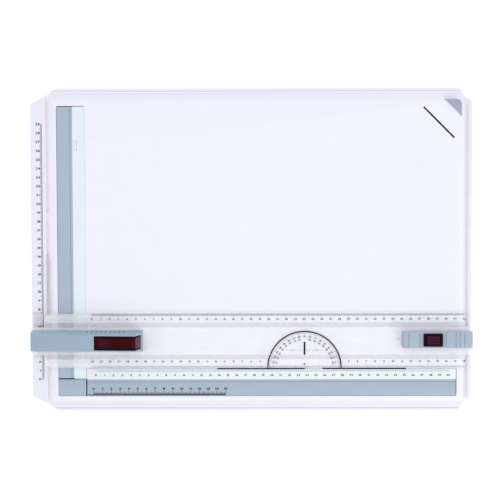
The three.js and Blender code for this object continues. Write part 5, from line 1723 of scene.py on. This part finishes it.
@dataclass
class Grips:
    """The ribs on both heads and the raised dots and border of the buttons."""

    shop: Workshop
    palette: Palette
    printer: Printer
    copies: bpy.types.NodeTree
    head_margin: float = 2.0 * MM
    rib_width: float = 0.8 * MM
    rib_height: float = 0.3 * MM
    ribs_from_right: tuple[float, ...] = (29.4 * MM, 18.3 * MM, 13.9 * MM, 8.8 * MM)
    ribs_from_left: tuple[float, ...] = (6.4 * MM, 18.6 * MM)
    wall_ribs: int = 9
    wall_rib_start: float = 64.0 * MM
    wall_rib_pitch: float = 5.2 * MM
    wall_rib_size: Point = (11.0 * MM, 1.3 * MM, 0.5 * MM)
    wall_rib_place: Spot = (1.35 * MM, 7.5 * MM)
    wall_slant_deg: float = -82.0
    button_nose: float = 4.5 * MM
    button_length: float = 44.6 * MM
    button_slope: float = 0.0714
    button_border: float = 1.1 * MM

    def build(self) -> None:
        """Make every grip."""
        self.head_ribs()
        self.wall_rib_row()
        self.right_dots()
        self.left_border()

    def rib_shape(self, length: float, width: float, height: float, material: bpy.types.Material,
                  slant_deg: float = 0.0) -> bpy.types.Object:
        """Make one rounded rib standing at the origin, along Y.

        Args:
            length: Its length.
            width: Its width.
            height: Its height above the surface.
            material: Its finish.
            slant_deg: Its turn about X, for a rib on a sloping wall.

        Returns:
            The rib's object, used as a shape to copy.
        """
        mesh = box_mesh((-width / 2, -length / 2, -height), (width / 2, length / 2, height), material)
        mesh.transform(Matrix.Rotation(math.radians(slant_deg), 4, "X"))
        rib = self.shop.object_from(mesh, "rib_shape")
        return self.shop.rounded(rib, min(width, height) * 0.45, 2)

    def dot_shape(self, profile: Sequence[Spot], sides: int) -> bpy.types.Object:
        """Turn one raised dot as a shape to copy."""
        # The dots take the lighter maroon, which is a painted highlight.
        return self.shop.object_from(lathe_mesh(profile, sides, self.palette.pink_dot), "dot_shape")

    def head_ribs(self) -> None:
        """Stand the ribs across the right head."""
        low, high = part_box("right_head")
        reach = high[1] - low[1] - self.head_margin
        # The right head's ribs take a darker grey, which is painted shade.
        soft = self.palette.rib_soft
        rib = self.rib_shape(reach, self.rib_width, self.rib_height, soft)
        xs = [*(high[0] - x for x in self.ribs_from_right), *(low[0] + x for x in self.ribs_from_left)]
        _, middle, _ = middle_of(low, high)
        places = [(x, middle, high[2]) for x in xs]
        piece = self.shop.copies(rib, places, "right_head_ribs", self.copies, soft)
        self.shop.place(piece, Body.RULER, Slot.GREY)

    def wall_rib_row(self) -> None:
        """Stand the row of ribs on the far wall of the left head."""
        low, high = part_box("left_head")
        rib = self.rib_shape(*self.wall_rib_size, self.palette.head, self.wall_slant_deg)
        inset, height = self.wall_rib_place
        places = [(low[0] + self.wall_rib_start + step * self.wall_rib_pitch, high[1] - inset,
                   low[2] + height) for step in range(self.wall_ribs)]
        # The wall ribs take the dark grey, which is painted shade between them.
        piece = self.shop.copies(rib, places, "left_head_ribs", self.copies, self.palette.rib)
        self.shop.place(piece, Body.RULER, Slot.GREY)

    def right_dots(self, pitch: Spot = (1.75 * MM, 1.9 * MM)) -> None:
        """Stand eight by five raised dots on the right button.

        Args:
            pitch: Distance between dots, along and across.
        """
        low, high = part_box("right_button")
        x, y, _ = middle_of(low, high)
        dot = self.dot_shape([(0.0, -0.2 * MM), (0.62 * MM, -0.2 * MM), (0.55 * MM, 0.12 * MM),
                              (0.3 * MM, 0.3 * MM), (0.0, 0.36 * MM)], 10)
        places = [(x + (i - 3.5) * pitch[0], y + (j - 2) * pitch[1], high[2])
                  for i in range(8) for j in range(5)]
        # Painted highlight: the dots take the lighter maroon.
        piece = self.shop.copies(dot, places, "right_button_dots", self.copies, self.palette.pink_dot)
        self.shop.place(piece, Body.RIGHT_LOCK, Slot.MAROON)

    def left_border(self) -> None:
        """Lay the black border and the dark red line on the left button."""
        low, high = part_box("left_button")
        crest = high[0] - self.button_nose
        start = crest - self.button_length
        border = self.button_border
        near, far = low[1] + border, high[1] - border

        def top(x: float, y: float) -> float:
            """Return the height of the button's top."""
            return high[2] - (crest - min(x, crest)) * self.button_slope

        bars = [
            self.printer.bar(low_corner, high_corner, ink) for low_corner, high_corner, ink in (
                ((start, low[1]), (start + border, high[1]), self.palette.black),
                ((start + border, low[1]), (crest, near), self.palette.black),
                ((start + border, far), (crest, high[1]), self.palette.black),
                ((crest - border * 0.8, near), (crest, far), self.palette.black),
                ((crest - border * 2.6, near), (crest - border * 2.1, far), self.palette.red_ink),
            )
        ]
        self.printer.apply("left_button_border", bars, top, Body.LEFT_LOCK)
        self.left_dots(start, (low[1] + high[1]) / 2, top)

    def left_dots(self, start: float, middle: float, top: Surface, inset: float = 4.5 * MM,
                  pitch: Spot = (1.5 * MM, 1.6 * MM)) -> None:
        """Stand nine by five fine dots on the low end of the left button.

        Args:
            start: The button's low end.
            middle: The button's middle across its width.
            top: Height of the button's top at a place.
            inset: Distance from the low end to the first dots.
            pitch: Distance between dots, along and across.
        """
        dot = self.dot_shape(
            [(0.0, -0.1 * MM), (0.3 * MM, -0.1 * MM), (0.25 * MM, 0.08 * MM), (0.0, 0.14 * MM)], 8)
        places = []
        for i in range(9):
            x = start + inset + i * pitch[0]
            places += [(x, middle + (j - 2) * pitch[1], top(x, middle)) for j in range(5)]
        # Painted highlight: the dots take the lighter maroon.
        piece = self.shop.copies(dot, places, "left_button_dots", self.copies, self.palette.pink_dot)
        self.shop.place(piece, Body.LEFT_LOCK, Slot.MAROON)


@dataclass
class Locks:
    """The two lock buttons with their levers and brake shoes."""

    shop: Workshop
    palette: Palette
    button_edge: float = 0.6

    def build(self) -> None:
        """Make both buttons and what moves with them."""
        shop, palette = self.shop, self.palette
        button = shop.moulded("left_button", palette.maroon, self.button_edge)
        # Painted highlight: the button's faces turned along +X take the lighter maroon.
        shop.paint(button, palette.maroon_end, lambda face: face.normal.x > 0.6)
        shop.place(button, Body.LEFT_LOCK, Slot.MAROON, ["left_button"])
        for node, material, edge, body, slot in (
            ("left_brake_lever", palette.black, 0.3, Body.LEFT_LOCK, Slot.BLACK),
            ("left_brake_shoe", palette.rubber, 0.3, Body.LEFT_LOCK, Slot.RUBBER),
            ("right_button", palette.maroon_dark, 0.7, Body.RIGHT_LOCK, Slot.MAROON),
            ("right_brake_shoe", palette.rubber, 0.3, Body.RIGHT_LOCK, Slot.RUBBER),
        ):
            shop.cast(node, material, edge, body, slot)


@dataclass
class Studio:
    """Floor, light and camera."""

    camera_place: Point = (0.00616, 0.03346, 0.980)
    tilt_deg: Point = (1.921, -0.435, 0.122)
    lens_mm: float = 62.44
    sensor_mm: float = 36.0
    sight: Spot = (0.05, 20.0)
    floor_size: float = 4.0
    floor_colour: Point = (0.93, 0.93, 0.94)
    floor_roughness: float = 0.9
    floor_glow: float = 0.18
    sky_strength: float = 1.03

    def build(self, deck_height: float) -> None:
        """Make the camera, the floor and the lights.

        Args:
            deck_height: Height of the drawing deck.
        """
        self.camera(deck_height)
        self.floor()
        self.lights()
        bpy.context.scene.view_settings.view_transform = "Standard"

    def camera(self, deck_height: float) -> None:
        """Stand the camera over the board, leaning slightly.

        Args:
            deck_height: Height of the drawing deck.
        """
        data = bpy.data.cameras.new("camera")
        data.lens = self.lens_mm
        data.sensor_width = self.sensor_mm
        data.clip_start, data.clip_end = self.sight
        eye = linked(data, "camera")
        about_x, about_y, about_z = (math.radians(angle) for angle in self.tilt_deg)
        world_to_eye = (Matrix.Rotation(about_z, 3, "Z") @ Matrix.Rotation(about_y, 3, "Y")
                        @ Matrix.Rotation(about_x, 3, "X"))
        x, y, height = self.camera_place
        spot = Vector((x, y, deck_height + height))
        eye.matrix_world = Matrix.Translation(spot) @ world_to_eye.transposed().to_4x4()
        bpy.context.scene.camera = eye

    def floor(self) -> None:
        """Lay the pale floor."""
        half = self.floor_size / 2
        mesh = bpy.data.meshes.new("floor")
        corners = [(-half, -half, 0.0), (half, -half, 0.0), (half, half, 0.0), (-half, half, 0.0)]
        mesh.from_pydata(corners, [], [(0, 1, 2, 3)])
        material = bpy.data.materials.new("pale_floor")
        material.use_nodes = True
        shader = material.node_tree.nodes["Principled BSDF"]
        shader.inputs["Base Color"].default_value = (*self.floor_colour, 1.0)
        shader.inputs["Roughness"].default_value = self.floor_roughness
        shader.inputs["Emission Color"].default_value = (1.0, 1.0, 1.0, 1.0)
        shader.inputs["Emission Strength"].default_value = self.floor_glow
        mesh.materials.append(material)
        linked(mesh, "floor")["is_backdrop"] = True

    def lights(self) -> None:
        """Light the scene with a white sky, a soft key lamp and a weak fill lamp."""
        world = bpy.data.worlds.new("studio_sky")
        world.use_nodes = True
        sky = world.node_tree.nodes["Background"]
        sky.inputs["Color"].default_value = (1.0, 1.0, 1.0, 1.0)
        sky.inputs["Strength"].default_value = self.sky_strength
        bpy.context.scene.world = world
        for name, spot, size, power in (
            ("key_light", Vector((1.6, -1.5, 1.5)), 0.9, 11.0),
            ("fill_light", Vector((-1.4, 1.2, 1.8)), 1.6, 1.5),
        ):
            data = bpy.data.lights.new(name, "AREA")
            data.shape = "SQUARE"
            data.size = size
            data.energy = power
            lamp = linked(data, name)
            lamp.location = spot
            lamp.rotation_euler = (-spot).to_track_quat("-Z", "Y").to_euler()


def write_sizes(before: Sequence[Sequence[float]]) -> None:
    """Put the CAD box and the visual model's box into a text, which is not kept.

    Args:
        before: Lowest and highest corner of the CAD model.
    """
    after = [list(corner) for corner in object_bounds()]
    text = '{"cad": %s, "visual": %s}' % ([list(corner) for corner in before], after)


def main() -> None:
    """Load the frame and build every sub-assembly in order."""
    logging.basicConfig(level=logging.INFO, format="%(name)s: %(message)s")
    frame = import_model()
    cad_box = [list(corner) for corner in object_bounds()]
    shop = Workshop(frame)
    palette = Palette()
    printer = Printer(shop, palette)
    copies = copies_tree()
    board = Board(shop, palette, printer)
    Studio().build(board.deck_height())
    board.build()
    Fasteners(shop, palette, copies).build()
    Clamps(shop, palette, printer).build()
    Legs(shop, palette).build()
    CornerClip(shop, palette).build()
    Ruler(shop, palette, printer).build()
    Grips(shop, palette, printer, copies).build()
    Locks(shop, palette).build()
    write_sizes(cad_box)


if __name__ == "__main__":
    main()
